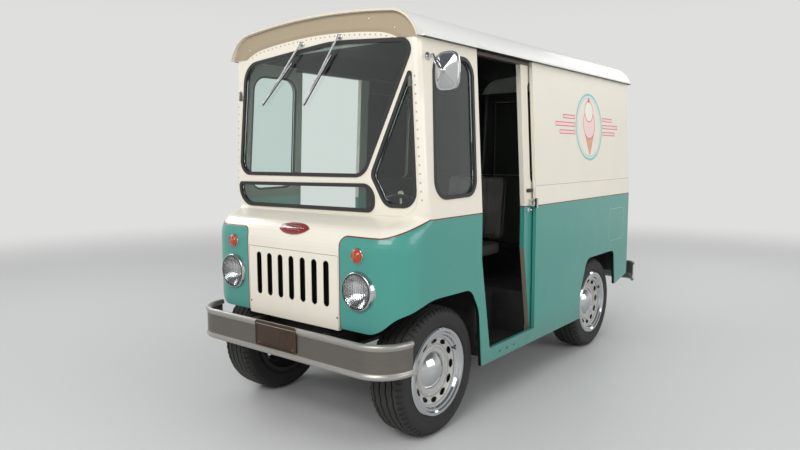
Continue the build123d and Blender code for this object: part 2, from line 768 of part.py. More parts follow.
# Leaf springs: shallow arcs from eye to eye across the axle seats
with BuildPart() as leaf_springs:
    for axle in (front_axle_y, rear_axle_y):
        with BuildSketch(Plane.YZ):
            with BuildLine():
                low = ThreePointArc((axle - spring_half - 30, spring_eye_z - spring_thickness / 2),
                                    (axle, spring_seat_z),
                                    (axle + spring_half + 30, spring_eye_z - spring_thickness / 2))
                high = ThreePointArc((axle - spring_half - 30, spring_eye_z + spring_thickness / 2),
                                     (axle, spring_seat_z + spring_thickness),
                                     (axle + spring_half + 30, spring_eye_z + spring_thickness / 2))
                Line(low @ 0, high @ 0)
                Line(low @ 1, high @ 1)
            make_face()
        extrude(amount=spring_x + spring_width / 2, both=True)
    Box(2 * (spring_x - spring_width / 2), 2 * wheelbase, 2 * floor_height, mode=Mode.SUBTRACT)
pieces["leaf_springs"] = leaf_springs.part

# Front axle: a beam that ends in the kingpins
beam_height = 60.0
boss_radius = 28.0
boss_height = 74.0
with BuildPart() as front_axle:
    with Locations((0, front_axle_y, axle_z)):
        Box(2 * kingpin_x, 46, beam_height)
    for side in (1, -1):
        with Locations((side * kingpin_x, front_axle_y, axle_z)):
            Cylinder(boss_radius, boss_height)
            Cylinder(kingpin_radius, boss_height + 60)
        with Locations((side * spring_x, front_axle_y, axle_z + beam_height / 2)):
            Box(spring_width, 46, spring_seat_z - axle_z - beam_height / 2,
                align=(Align.CENTER, Align.CENTER, Align.MIN))
pieces["front_axle"] = front_axle.part

# Knuckles: a fork on the kingpin that carries the wheel spindle
fork_thickness = 18.0
fork_web = 14.0
fork_web_x = kingpin_x + boss_radius + moving_gap
with BuildPart() as knuckle:
    for end in (1, -1):
        align_z = Align.MIN if end > 0 else Align.MAX
        with Locations((kingpin_x, front_axle_y, axle_z + end * (boss_height / 2 + running_gap))):
            Cylinder(boss_radius, fork_thickness, align=(Align.CENTER, Align.CENTER, align_z))
            Box(fork_web_x + fork_web - kingpin_x, 2 * boss_radius, fork_thickness,
                align=(Align.MIN, Align.CENTER, align_z))
    with Locations((fork_web_x, front_axle_y, axle_z)):
        Box(fork_web, 2 * boss_radius, boss_height + 2 * running_gap + 2 * fork_thickness,
            align=(Align.MIN, Align.CENTER, Align.CENTER))
    with Locations((kingpin_x, front_axle_y, axle_z)):
        Cylinder(kingpin_radius + running_gap, 300, mode=Mode.SUBTRACT)
    with BuildSketch(Plane.YZ.offset(fork_web_x)):
        with Locations((front_axle_y, axle_z)):
            Circle(spindle_radius)
    extrude(amount=spindle_end_x - fork_web_x)
pieces["knuckle_left"] = knuckle.part
pieces["knuckle_right"] = knuckle.part.mirror(Plane.YZ)

# Rear axle: tube with its differential housing and the ends that carry the wheels
axle_tube = 36.0
differential_radius = 112.0
nose_radius = 44.0
nose_reach = 170.0
with BuildPart() as rear_axle:
    for radius, reach in ((axle_tube, hub_inner_x - moving_gap), (spindle_radius, spindle_end_x)):
        with BuildSketch(Plane.YZ.offset(-reach)):
            with Locations((rear_axle_y, axle_z)):
                Circle(radius)
        extrude(amount=2 * reach)
    with Locations((0, rear_axle_y, axle_z)):
        Sphere(differential_radius)
        Cylinder(nose_radius, nose_reach, rotation=(90, 0, 0),
                 align=(Align.CENTER, Align.CENTER, Align.MIN))
    for side in (1, -1):
        with Locations((side * spring_x, rear_axle_y, axle_z)):
            Box(spring_width, 46, spring_seat_z - axle_z, align=(Align.CENTER, Align.CENTER, Align.MIN))
pieces["rear_axle"] = rear_axle.part

# Wheels: rim barrel, stepped trim ring, pressed disc with oval vents, hub sleeve and domed cap
vent_count = 14
vent_radius = 156.0
vent_length = 44.0
vent_width = 25.0
disc_x = 650.0
cap_radius = 100.0
cap_height = 42.0
cap_sphere = (cap_radius ** 2 + cap_height ** 2) / (2 * cap_height)
cap_top_x = disc_x - 4 + cap_height
rim_out_x = 691.0
rim_in_x = 2 * tyre_centre_x - rim_out_x
wheel_profile = ((rim_in_x, rim_radius), (rim_in_x + rim_metal, rim_radius),
                 (rim_in_x + rim_metal, bead_radius), (520, bead_radius),
                 (535, rim_well_radius + rim_metal), (590, rim_well_radius + rim_metal),
                 (605, bead_radius), (rim_out_x - rim_metal, bead_radius),
                 (rim_out_x - rim_metal, rim_radius),
                 (rim_out_x - 3, rim_radius + 3), (rim_out_x + 5, rim_radius - 4),
                 (rim_out_x + 4, 214), (rim_out_x - 4, 208), (rim_out_x - 6, 197),
                 (rim_out_x - 18, 191), (rim_out_x - 22, 177), (rim_out_x - 25, 178),
                 (rim_out_x - 21, 193.5), (rim_out_x - 9, 199.5), (rim_out_x - 8, bead_radius - rim_metal),
                 (609, bead_radius - rim_metal), (596, rim_well_radius), (disc_x - 8, 178),
                 (disc_x + 2, 140), (disc_x - 4, 104), (disc_x - 4, hub_radius - 10),
                 (disc_x - 12, hub_radius - 10), (disc_x - 12, 106), (disc_x - 6, 138),
                 (disc_x - 16, 172), (530, rim_well_radius), (515, bead_radius - rim_metal),
                 (rim_in_x, bead_radius - rim_metal))
with BuildPart() as wheel:
    with BuildSketch(Plane.XY):
        with BuildLine():
            Polyline(*wheel_profile, close=True)
        make_face()
    revolve(axis=Axis.X)
    with BuildSketch(Plane.YZ.offset(disc_x - 30)):
        with PolarLocations(vent_radius, vent_count):
            SlotOverall(vent_length, vent_width, rotation=90)
    extrude(amount=50, mode=Mode.SUBTRACT)
    with BuildSketch(Plane.YZ.offset(hub_inner_x)):
        Circle(hub_radius)
    extrude(amount=disc_x - 8 - hub_inner_x)
    with BuildSketch(Plane.XY):
        with BuildLine():
            dome = CenterArc((cap_top_x - cap_sphere, 0), cap_sphere, 0,
                             degrees(asin(cap_radius / cap_sphere)))
            Polyline(dome @ 0, (disc_x - 10, 0), (disc_x - 10, cap_radius), dome @ 1)
        make_face()
    revolve(axis=Axis.X)
    with BuildSketch(Plane.YZ.offset(hub_inner_x - 5)):
        Circle(spindle_radius + running_gap)
    extrude(amount=spindle_end_x + running_gap - hub_inner_x + 5, mode=Mode.SUBTRACT)

# Tyres: one closed ring with rounded shoulders
half_tyre = tyre_width / 2
half_bead = rim_out_x - rim_metal - tyre_centre_x - running_gap
with BuildPart() as tyre:
    with BuildSketch(Plane.XY):
        with BuildLine():
            base = Line((tyre_centre_x, bead_radius + running_gap),
                        (tyre_centre_x + half_bead, bead_radius + running_gap))
            flank = Line(base @ 1, (tyre_centre_x + half_bead, rim_radius + 3))
            side_arc = ThreePointArc(flank @ 1, (tyre_centre_x + half_tyre, 282),
                                     (tyre_centre_x + half_tyre - 8, 316))
            shoulder = ThreePointArc(side_arc @ 1, (tyre_centre_x + half_tyre - 15, 331),
                                     (tyre_centre_x + half_tyre - 30, tyre_radius - 4))
            ThreePointArc(shoulder @ 1, (tyre_centre_x + 40, tyre_radius - 1),
                          (tyre_centre_x, tyre_radius))
            mirror(about=Plane(origin=(tyre_centre_x, 0, 0), x_dir=(0, 1, 0), z_dir=(1, 0, 0)))
        make_face()
    revolve(axis=Axis.X)

for end, axle in (("front", front_axle_y), ("rear", rear_axle_y)):
    for name, side in (("left", 1), ("right", -1)):
        for kind, form in (("wheel", wheel.part), ("tyre", tyre.part)):
            made = form if side > 0 else form.mirror(Plane.YZ)
            pieces[f"{kind}_{end}_{name}"] = Pos(0, axle, axle_z) * made

# Engine, gearbox with shaft, radiator, tank and exhaust
engine_front = -1135.0
engine_rear = -640.0
engine_width = 340.0
engine_low = axle_z + beam_height / 2 + 26.0
engine_high = cover_top - 50.0
gearbox_rear = -330.0
gearbox_radius = 84.0
shaft_radius = 30.0
shaft_end = rear_axle_y - nose_reach
with BuildPart() as engine_block:
    with Locations((0, engine_front, engine_low)):
        Box(engine_width, engine_rear - engine_front, engine_high - engine_low,
            align=(Align.CENTER, Align.MIN, Align.MIN))
pieces["engine_block"] = engine_block.part

with BuildPart() as driveshaft:
    with BuildSketch(Plane.XZ.offset(-engine_rear)):
        with Locations((0, axle_z + 52)):
            Circle(gearbox_radius)
    extrude(amount=engine_rear - gearbox_rear)
    with BuildSketch(Plane.XZ.offset(-gearbox_rear)):
        with Locations((0, axle_z)):
            Circle(shaft_radius)
    extrude(amount=gearbox_rear - shaft_end)
pieces["driveshaft"] = driveshaft.part

radiator_size = (500.0, 55.0, 400.0)
with BuildPart() as radiator:
    with Locations((0, cross_members[0], rail_top - member_inset)):
        Box(*radiator_size, align=(Align.CENTER, Align.CENTER, Align.MIN))
pieces["radiator"] = radiator.part

tank_size = (300.0, 440.0, 230.0)
tank_front = 120.0
tank_corner = 40.0
with BuildPart() as fuel_tank:
    with Locations((-rail_outer, tank_front, -floor_thickness)):
        Box(*tank_size, align=(Align.MAX, Align.MIN, Align.MAX))
    fillet(fuel_tank.edges().filter_by(Axis.Y).group_by(Axis.Z)[0], tank_corner)
pieces["fuel_tank"] = fuel_tank.part

pipe_x = 378.0
pipe_z = -150.0
pipe_turn = -700.0
pipe_rear = body_rear + 26.0
pipe_radius = 22.0
silencer_radius = 62.0
silencer_length = 420.0
with BuildPart() as exhaust:
    with Locations((engine_width / 2, pipe_turn, pipe_z)):
        Cylinder(pipe_radius, pipe_x - engine_width / 2, rotation=(0, 90, 0),
                 align=(Align.CENTER, Align.CENTER, Align.MIN))
    with Locations((pipe_x, pipe_turn, pipe_z)):
        Sphere(pipe_radius)
        Cylinder(pipe_radius, pipe_rear - pipe_turn, rotation=(-90, 0, 0),
                 align=(Align.CENTER, Align.CENTER, Align.MIN))
    with Locations((pipe_x, 0, pipe_z)):
        Cylinder(silencer_radius, silencer_length, rotation=(-90, 0, 0),
                 align=(Align.CENTER, Align.CENTER, Align.MIN))
pieces["exhaust"] = exhaust.part


def bumper(half, face, end, bend, low, high):
    """An upright web with a rolled tube along each edge, swept round the bumper's plan line."""
    run = 1 if face < 0 else -1
    reach = half - lip_radius
    line_y = face + run * lip_radius
    height = high - low - 2 * lip_radius
    middle = (low + high) / 2
    with BuildPart() as bar:
        with BuildLine(Plane.XY.offset(middle)) as path:
            FilletPolyline((-reach, end), (-reach, line_y), (reach, line_y), (reach, end), radius=bend)
        with BuildSketch(Plane(origin=(-reach, end, middle), x_dir=(0, 0, 1), z_dir=(0, -run, 0))):
            Rectangle(height, bumper_web)
            with Locations((height / 2, 0), (-height / 2, 0)):
                Circle(lip_radius)
        sweep(path=path.wires()[0])
    return bar.part


# the front bumper's ends stop short of the ring that the steered tyres sweep round their kingpins
tyre_sweep = 351.0
bumper_clear = bumper_half - 2 * lip_radius - kingpin_x
front_bumper_end = front_axle_y - sqrt((tyre_sweep + moving_gap + 2) ** 2 - bumper_clear ** 2)
pieces["front_bumper"] = bumper(bumper_half, bumper_front, front_bumper_end, front_bumper_bend,
                                front_bumper_low, front_bumper_high)
pieces["rear_bumper"] = bumper(bumper_half, bumper_rear, rear_bumper_end, rear_bumper_bend,
                               rear_bumper_low, rear_bumper_high)

# Lamps, in pairs: bezels with the can behind, domed lenses, turn signals and tail lamps
lens_radius = 91.5
bezel_front = nose_front - 20.0
bezel_depth = 34.0
can_radius = headlight_radius - bezel_lap - running_gap
can_rear = nose_front + 86.0
can_neck = 40.0
lens_seat = nose_front - 4.0
lens_sphere = 314.0
lens_centre_y = nose_front + 282.0
signal_radius = 37.0
signal_seat = nose_front + 14.0
signal_sphere = 54.8
signal_centre_y = nose_front + 28.0
tail_x = body_half - 136.0
tail_z = ground + 960.0
tail_radius = 35.0
tail_depth = 24.0
lamp_reach = 100.0


def pair(x, height, radius, front, rear):
    """Two round discs, one each side, between two y places."""
    with BuildPart() as discs:
        with BuildSketch(Plane.XZ.offset(-front)):
            with Locations((x, height), (-x, height)):
                Circle(radius)
        extrude(amount=front - rear)
    return discs.part


with BuildPart() as headlights:
    add(pair(headlight_x, headlight_z, headlight_radius, bezel_front, bezel_front + bezel_depth))
    add(pair(headlight_x, headlight_z, can_radius, bezel_front + bezel_depth, can_rear))
    add(cab_shell.part, mode=Mode.SUBTRACT)
    add(pair(headlight_x, headlight_z, can_radius, nose_front, nose_front + can_neck))
    add(pair(headlight_x, headlight_z, lens_radius, bezel_front - 4, lens_seat), mode=Mode.SUBTRACT)
pieces["headlights"] = headlights.part

with BuildPart() as headlight_lenses:
    with Locations((headlight_x, lens_centre_y, headlight_z), (-headlight_x, lens_centre_y, headlight_z)):
        Sphere(lens_sphere)
    add(pair(headlight_x, headlight_z, lens_radius - running_gap, lens_seat - lamp_reach,
             lens_seat - running_gap), mode=Mode.INTERSECT)
pieces["headlight_lenses"] = headlight_lenses.part

with BuildPart() as turn_signals:
    with Locations((signal_x, signal_centre_y, signal_z), (-signal_x, signal_centre_y, signal_z)):
        Sphere(signal_sphere)
    add(pair(signal_x, signal_z, signal_radius, signal_seat - lamp_reach, signal_seat), mode=Mode.INTERSECT)
    add(cab_shell.part, mode=Mode.SUBTRACT)
pieces["turn_signals"] = turn_signals.part
pieces["tail_lamps"] = pair(tail_x, tail_z, tail_radius, body_rear, body_rear + tail_depth)

# Wipers hung from above the main window: pivot, arm end and blade ends as x and height
wiper_table = (((-99, 2088), (-320, 1882), (-195, 1989), (-445, 1775)),
               ((187, 2096), (7, 1881), (110, 2004), (-96, 1758)))
pivot_radius = 13.0
pivot_reach = 26.0
arm_size = (12.0, 8.0)
blade_size = (14.0, 18.0)


def bar(start, end, size, rear):
    """A flat bar of a width and depth between two points of the plane at y = rear, standing forward."""
    width, depth = size
    with BuildPart() as made:
        with BuildSketch(Plane.XZ.offset(-rear)):
            with BuildLine():
                Line((start[0], ground + start[1]), (end[0], ground + end[1]))
            trace(line_width=width)
        extrude(amount=depth)
    return made.part


with BuildPart() as wipers:
    for pivot, tip, blade_top, blade_foot in wiper_table:
        with BuildSketch(Plane.XZ.offset(-cab_front)):
            with Locations((pivot[0], ground + pivot[1])):
                Circle(pivot_radius)
        extrude(amount=pivot_reach)
        add(bar(pivot, tip, arm_size, cab_front - 16))
        add(bar(blade_top, blade_foot, blade_size, cab_front + 1))
pieces["wipers"] = wipers.part

# Driver's mirror: a shallow case, creased to a point in front, hung on an arm in front of it
mirror_x = body_half + 110.0
mirror_z = ground + 1871.0
mirror_face_y = -1178.0
mirror_rim_y = -1200.0
mirror_point_y = -1230.0
mirror_size = (130.0, 182.0)
mirror_tip = (26.0, 36.0)
mirror_corner = 28.0
arm_radius = 8.0
flange_radius = 20.0
flange_thickness = 8.0
flange_y = -1142.0
flange_z = ground + 1958.0
joint_radius = 12.0
arm_start = side_half(flange_z) + 4.0
arm_points = ((arm_start, flange_y, flange_z), (mirror_x - 95, -1172, flange_z - 1),
              (mirror_x - 47, -1226, mirror_z + 44), (mirror_x, mirror_point_y - 6, mirror_z))
with BuildPart() as mirror_case:
    with BuildSketch(Plane.XZ.offset(-mirror_rim_y)):
        with Locations((mirror_x, mirror_z)):
            RectangleRounded(*mirror_size, mirror_corner)
    extrude(amount=mirror_rim_y - mirror_face_y)
    with BuildSketch(Plane.XZ.offset(-mirror_rim_y)) as mirror_rim:
        with Locations((mirror_x, mirror_z)):
            RectangleRounded(*mirror_size, mirror_corner)
    with BuildSketch(Plane.XZ.offset(-mirror_point_y)) as mirror_point:
        with Locations((mirror_x, mirror_z)):
            RectangleRounded(*mirror_tip, mirror_corner / 3)
    loft([mirror_rim.sketch, mirror_point.sketch], ruled=True)
    with BuildSketch(side_plane):
        with Locations((flange_y, flange_z - belt)):
            Circle(flange_radius)
    extrude(amount=flange_thickness)
    with Locations(arm_points[-1]):
        Sphere(joint_radius)
    with BuildLine():
        arm = Polyline(*arm_points)
    with BuildSketch(Plane(origin=arm @ 0, z_dir=arm % 0)):
        Circle(arm_radius)
    sweep(path=arm, transition=Transition.ROUND)
pieces["mirror"] = mirror_case.part

os.makedirs("parts", exist_ok=True)
for name, solid in pieces.items():
    solid.label = name
    export_step(solid, f"parts/{name}.step")
    print(name, len(solid.solids()), round(solid.volume / 1000))
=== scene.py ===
# %% [markdown]
# A compact walk-in ice cream truck from the middle of the last century, dressed over its CAD frame.
# The CAD gives every panel its place and size. Blender adds paint, rubber, chrome, tread and trim.
# Lengths are metres, the nose points to -Y, up is +Z, and zero is on top of the load floor.

# %% Load the frame
from math import cos, pi, radians, sin
import bmesh
import bpy
import numpy as np
from mathutils import Matrix, Vector


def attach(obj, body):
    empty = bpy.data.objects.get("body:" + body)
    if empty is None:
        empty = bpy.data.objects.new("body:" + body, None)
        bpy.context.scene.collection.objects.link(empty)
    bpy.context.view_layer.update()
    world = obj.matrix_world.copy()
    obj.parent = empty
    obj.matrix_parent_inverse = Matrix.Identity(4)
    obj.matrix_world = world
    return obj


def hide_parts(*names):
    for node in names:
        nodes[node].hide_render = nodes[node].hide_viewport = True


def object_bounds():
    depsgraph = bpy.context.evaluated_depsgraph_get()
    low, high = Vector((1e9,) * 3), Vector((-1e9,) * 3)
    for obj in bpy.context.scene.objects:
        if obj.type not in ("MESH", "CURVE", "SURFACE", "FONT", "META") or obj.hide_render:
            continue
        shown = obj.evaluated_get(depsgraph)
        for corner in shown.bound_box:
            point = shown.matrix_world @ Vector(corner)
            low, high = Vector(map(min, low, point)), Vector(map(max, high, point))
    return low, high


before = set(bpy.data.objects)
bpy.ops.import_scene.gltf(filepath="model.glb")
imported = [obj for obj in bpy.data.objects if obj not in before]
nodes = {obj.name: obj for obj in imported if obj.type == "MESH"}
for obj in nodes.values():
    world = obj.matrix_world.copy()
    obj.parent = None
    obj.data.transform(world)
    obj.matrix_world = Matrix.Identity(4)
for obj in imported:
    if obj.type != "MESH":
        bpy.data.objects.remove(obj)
cad_low, cad_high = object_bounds()
print("CAD nodes", len(nodes), "box", [round(v, 3) for v in cad_low], [round(v, 3) for v in cad_high])

# %% [markdown]
# The photographer stood off the driver's front corner, a little above the belt line of the truck.
# A camera looks along its own -Z, so it is tipped up from looking down, turned about the vertical,
# and rolled by the small tilt of the hand-held picture.

# %% Camera
def hang(name, data):
    """A new object for a mesh, a lamp or a camera, linked to the scene."""
    made = bpy.data.objects.new(name, data)
    bpy.context.scene.collection.objects.link(made)
    return made


camera_place = (2.5911, -3.7483, 0.8835)
camera_turn, camera_dip, camera_roll = radians(38.4459), radians(6.2130), radians(-0.2156)
sensor_width, focal_pixels, picture_width = 36.0, 648.0, 800.0
camera = hang("camera", bpy.data.cameras.new("camera"))
camera.matrix_world = (Matrix.Translation(camera_place) @ Matrix.Rotation(camera_turn, 4, "Z")
                       @ Matrix.Rotation(pi / 2 - camera_dip, 4, "X") @ Matrix.Rotation(camera_roll, 4, "Z"))
camera.data.sensor_width = sensor_width
camera.data.lens = sensor_width * focal_pixels / picture_width
bpy.context.scene.camera = camera
bpy.context.scene.view_settings.view_transform = "Standard"
print("lens", round(camera.data.lens, 2), "mm")

# %% [markdown]
# Shader maths reads best as arithmetic. One small class wraps a socket, so that writing
# 1 - mask * 0.5 lays the Math nodes by itself. Every other node comes from its node method, which
# sets the node's own settings first and then fills its sockets with numbers, colours or wires.
# The operators all lay one Math node each, so a table gives the class its methods for them.

# %% Shader arithmetic
class Wire:
    """A socket in a material's node tree that can be used in sums."""

    def __init__(self, tree, socket):
        self.tree, self.socket = tree, socket

    def node(self, kind, settings=(), inputs=(), out=0):
        made = self.tree.nodes.new("ShaderNode" + kind)
        for name, value in dict(settings).items():
            setattr(made, name, value)
        for key, value in dict(inputs).items():
            if isinstance(value, Wire):
                self.tree.links.new(value.socket, made.inputs[key])
            else:
                made.inputs[key].default_value = value
        return Wire(self.tree, made.outputs[out])

    def maths(self, operation, *values):
        """One Math node on the values given; this wire itself isn't one of them unless it is named."""
        return self.node("Math", {"operation": operation}, enumerate(values))

    def step(self, low, high):
        """0 below low, 1 above high and a smooth turn between; low above high turns it round."""
        if low > high:
            return 1.0 - self.step(high, low)
        return self.node("MapRange", {"interpolation_type": "SMOOTHSTEP"},
                         {0: self, 1: low, 2: high, 3: 0.0, 4: 1.0})

    def xyz(self):
        split = self.node("SeparateXYZ", {}, {0: self})
        return [Wire(self.tree, split.socket.node.outputs[i]) for i in range(3)]

    def facing(self):
        """The outward direction of the surface, as x, y and z; only for the place wire that a recipe is given."""
        return Wire(self.tree, self.socket.node.outputs["Normal"]).xyz()

    def scaled(self, factors):
        return self.node("Mapping", {}, {0: self, 3: factors})

    def noise(self, scale, detail=3.0, roughness=0.5):
        return self.node("TexNoise", {}, {"Vector": self, "Scale": scale, "Detail": detail, "Roughness": roughness})

    def cells(self, scale):
        """Distance to the nearest wall in a net of random cells."""
        return self.node("TexVoronoi", {"feature": "DISTANCE_TO_EDGE"}, {"Vector": self, "Scale": scale})

    def blend(self, low, high):
        """The colour low where this wire is 0 and high where it is 1."""
        return self.node("Mix", {"data_type": "RGBA"}, {0: self, 6: low, 7: high}, 2)


def one_node(operation, swapped=False):
    """A method that lays one Math node; swapped is for sums that start with a plain number, such as 1 - mask."""
    def method(self, *others):
        values = (self,) + others
        return self.maths(operation, *(values[::-1] if swapped else values))
    return method


two_sided = {"add": "ADD", "sub": "SUBTRACT", "mul": "MULTIPLY", "truediv": "DIVIDE", "pow": "POWER"}
plain = {"__abs__": "ABSOLUTE", "least": "MINIMUM", "most": "MAXIMUM", "root": "SQRT", "wave": "SINE"}
for word, operation in two_sided.items():
    setattr(Wire, f"__{word}__", one_node(operation))
    setattr(Wire, f"__r{word}__", one_node(operation, True))
for word, operation in plain.items():
    setattr(Wire, word, one_node(operation))


def tone(red, green, blue):
    """A colour as seen on a screen, turned into the linear light that shaders use."""
    return tuple(v / 12.92 if v <= 0.04045 else ((v + 0.055) / 1.055) ** 2.4 for v in (red, green, blue)) + (1.0,)


def finish(name, recipe):
    """A material whose Principled sockets are filled from recipe(place), a dict; Bump is (height, metres)."""
    made = bpy.data.materials.new(name)
    made.use_nodes = True
    tree = made.node_tree
    shader = tree.nodes["Principled BSDF"]
    place = Wire(tree, tree.nodes.new("ShaderNodeTexCoord").outputs["Object"])
    for key, value in recipe(place).items():
        if key == "Bump":
            value = place.node("Bump", {}, {"Height": value[0], "Distance": value[1], "Strength": 1.0})
            key = "Normal"
        if isinstance(value, Wire):
            tree.links.new(value.socket, shader.inputs[key])
        else:
            shader.inputs[key].default_value = value
    return made


print("shader helper ready")

# %% [markdown]
# The floor is a plain pale studio floor that meets a pale backdrop. The floor fades into the same
# light grey as the world far away from the truck, so that no hard horizon crosses the picture.

# %% Floor, backdrop and world
pale = (0.74, 0.74, 0.73, 1.0)
ground = cad_low[2]
floor_half, fade_start, fade_end = 60.0, 4.0, 11.0
floor_mesh = bpy.data.meshes.new("studio_floor")
floor_mesh.from_pydata([(x * floor_half, y * floor_half, ground) for x, y in ((-1, -1), (1, -1), (1, 1), (-1, 1))],
                       [], [(0, 1, 2, 3)])
floor = hang("studio_floor", floor_mesh)
floor_paint = bpy.data.materials.new("studio_floor")
floor_paint.use_nodes = True
tree = floor_paint.node_tree
spot = Wire(tree, tree.nodes.new("ShaderNodeTexCoord").outputs["Object"])
far_x, far_y, _ = spot.xyz()
distance = (far_x * far_x + far_y * far_y).root()
matt = tree.nodes["Principled BSDF"]
matt.inputs["Base Color"].default_value = (0.62, 0.62, 0.61, 1.0)
matt.inputs["Roughness"].default_value = 0.6
glow = spot.node("Emission", {}, {"Color": pale, "Strength": 1.0})
mixed = spot.node("MixShader", {}, {0: distance.step(fade_start, fade_end), 1: Wire(tree, matt.outputs[0]),
                                    2: glow})
tree.links.new(mixed.socket, tree.nodes["Material Output"].inputs["Surface"])
floor.data.materials.append(floor_paint)

world = bpy.context.scene.world or bpy.data.worlds.new("studio")
bpy.context.scene.world = world
world.use_nodes = True
sky = world.node_tree
sky.nodes.clear()
path = sky.nodes.new("ShaderNodeLightPath")
seeing, mirrored, bent = (Wire(sky,
                               path.outputs[f"Is {kind} Ray"]) for kind in ("Camera", "Glossy", "Transmission"))
ray = seeing.most(mirrored).most(bent)
_, _, rise = ray.node("TexCoord", out=0).xyz()
vault = rise.step(0.16, 0.62).blend(pale, (0.16, 0.17, 0.18, 1.0))
seen = ray.node("Background", {}, {"Color": vault, "Strength": 1.0})
fill = ray.node("Background", {}, {"Color": (0.45, 0.46, 0.48, 1.0), "Strength": 1.0})
both = ray.node("MixShader", {}, {0: ray, 1: fill, 2: seen})
sky.links.new(both.socket, sky.nodes.new("ShaderNodeOutputWorld").inputs["Surface"])
print("floor at", round(ground, 3))

# %% [markdown]
# Four large soft lamps, as in a photographic studio: one high and in front of the nose, one along
# each side and one behind, so that every side reads.

# %% Soft lamps
lamp_table = (  # name, place, aim, width, height, watts
    ("key", (1.6, -5.7, 3.6), (0.0, -0.6, 0.5), 3.6, 2.4, 197.0),
    ("side", (5.8, 0.4, 1.9), (0.3, 0.4, 0.4), 4.0, 2.2, 93.0),
    ("far_side", (-5.6, -1.2, 3.6), (-0.3, 0.0, 0.4), 4.0, 2.2, 110.0),
    ("rear", (0.8, 6.2, 3.2), (0.0, 0.8, 0.5), 3.4, 2.2, 100.0),
)
for name, place, aim, width, height, watts in lamp_table:
    lamp = bpy.data.lights.new(name, "AREA")
    lamp.shape, lamp.size, lamp.size_y, lamp.energy = "RECTANGLE", width, height, watts
    hung = hang(name, lamp)
    hung.location = place
    hung.rotation_euler = (Vector(aim) - Vector(place)).to_track_quat("-Z", "Y").to_euler()
print("lamps", [row[0] for row in lamp_table])

# %% [markdown]
# The livery is cream above and turquoise below, parted by a thin dark red coach line. The line is
# level along the sides, drops a little round the nose corners and then turns down in a rounded
# corner, so that the middle of the nose stays cream. It is worked out as a distance to that line,
# which gives both the colour and the stripe, and it lands at the same height on every panel.

# %% Livery
cream = tone(0.93, 0.905, 0.84)
turquoise = tone(0.235, 0.575, 0.530)
coach_red = tone(0.42, 0.13, 0.13)
cabin_grey = tone(0.62, 0.67, 0.61)
cabin_green = tone(0.55, 0.79, 0.72)
# The hold's lining is dark grey: painted shade of the unlit load body.
hold_shade = tone(0.20, 0.21, 0.20)
dust_colour = tone(0.36, 0.33, 0.28)
belt = 0.560
kink_y = -1.170
body_half = 0.737
nose_drop = 0.080
nose_run = 0.36
centre_half = 0.357
line_bend = 0.045
axle_y, axle_z = 1.0285, -0.256
drain_slots_y, drain_slots_z = (-0.468, -0.384, -0.298), -0.271
nose_seam_x, nose_seam_z = 0.3463, 0.3765
ridge_z = 0.688
lid_middle, lid_half, lid_corner = (1.375, 0.325), (0.115, 0.085), 0.040


def corner_gap(u, v):
    """Distance to the outline of a square corner whose two edges are at u = 0 and v = 0, positive outside it."""
    outside = (u.most(0.0) * u.most(0.0) + v.most(0.0) * v.most(0.0)).root()
    return outside + u.most(v).least(0.0)


def livery(place):
    """Signed distance to the coach line, positive in the turquoise."""
    x, y, z = place.xyz()
    across = abs(x)
    front = y.step(kink_y + 0.0005, kink_y - 0.0005)
    ahead = (kink_y - y).most(0.0) + (body_half - across) * front
    left = (1.0 - ahead / nose_run).most(0.0)
    drop = nose_drop * (1.0 - left ** 1.3)
    below = belt - drop * front - z
    beside = across - centre_half + (1.0 - front)
    return line_bend - corner_gap(line_bend - below, line_bend - beside)


def weathered(place, colour, strength=1.0):
    """Old repaint: faint blotches, and road dust that settles low on the body."""
    _, _, z = place.xyz()
    blotch = place.noise(3.0, 4.0, 0.55)
    dust = z.step(-0.10, -0.32) * place.noise(14.0, 4.0, 0.6)
    worn = (blotch * (0.09 * strength)).blend(colour, tone(0.60, 0.58, 0.52))
    return (dust * (0.40 * strength)).blend(worn, dust_colour)


def inner_side(place):
    """1 on faces that look into the body: side walls that face the centreline, rear wall that faces forward."""
    nx, ny, _ = place.facing()
    x, y, _ = place.xyz()
    wall = (0.0 - nx * x.maths("SIGN", x)).step(0.3, 0.5)
    rear = (0.0 - ny).step(0.3, 0.5) * y.step(1.60, 1.61)
    return wall.most(rear) * y.step(-1.22, -1.21)


def fittings(place, colour):
    """Painted shade on the inner faces of the wheel arches, and three drain slots in the sill painted dark as shade.
    """
    x, y, z = place.xyz()
    _, ny, nz = place.facing()
    along, up = y - y.maths("SIGN", y) * axle_y, z - axle_z
    # Painted shade: inner faces of the arches around each wheel turn near black.
    inwards = (0.0 - along * ny - up * nz).step(0.10, 0.16) * (along * along + up * up).root().step(0.56, 0.54)
    colour = (inwards * abs(x).step(0.7345, 0.7325)).blend(colour, tone(0.07, 0.08, 0.08))
    # The drain slots are dark marks on the sill with no hole cut: painted shade.
    first, second, third = (abs(y - slot_y) for slot_y in drain_slots_y)
    level = abs(z - drain_slots_z).step(0.0052, 0.0036)
    slots = first.least(second).least(third).step(0.0125, 0.0105) * level
    return slots.blend(colour, tone(0.06, 0.09, 0.09))


def lid(place):
    """Signed distance to the rounded outline of the small lid over the rear wheel."""
    _, y, z = place.xyz()
    return corner_gap(abs(y - lid_middle[0]) - lid_half[0], abs(z - lid_middle[1]) - lid_half[1]) - lid_corner


def repainted(place, colour, relief=0.0):
    """Sockets of an old repaint: half gloss under a thin coat, orange peel and soft waves, and relief on top."""
    peel = place.noise(70.0, 2.0) * 0.00035 + place.noise(6.0, 2.0) * 0.0012
    return {"Base Color": colour, "Roughness": 0.27 + place.noise(9.0) * 0.16, "Coat Weight": 0.45,
            "Coat Roughness": 0.10, "Specular IOR Level": 0.35, "Bump": (peel + relief, 1.0)}


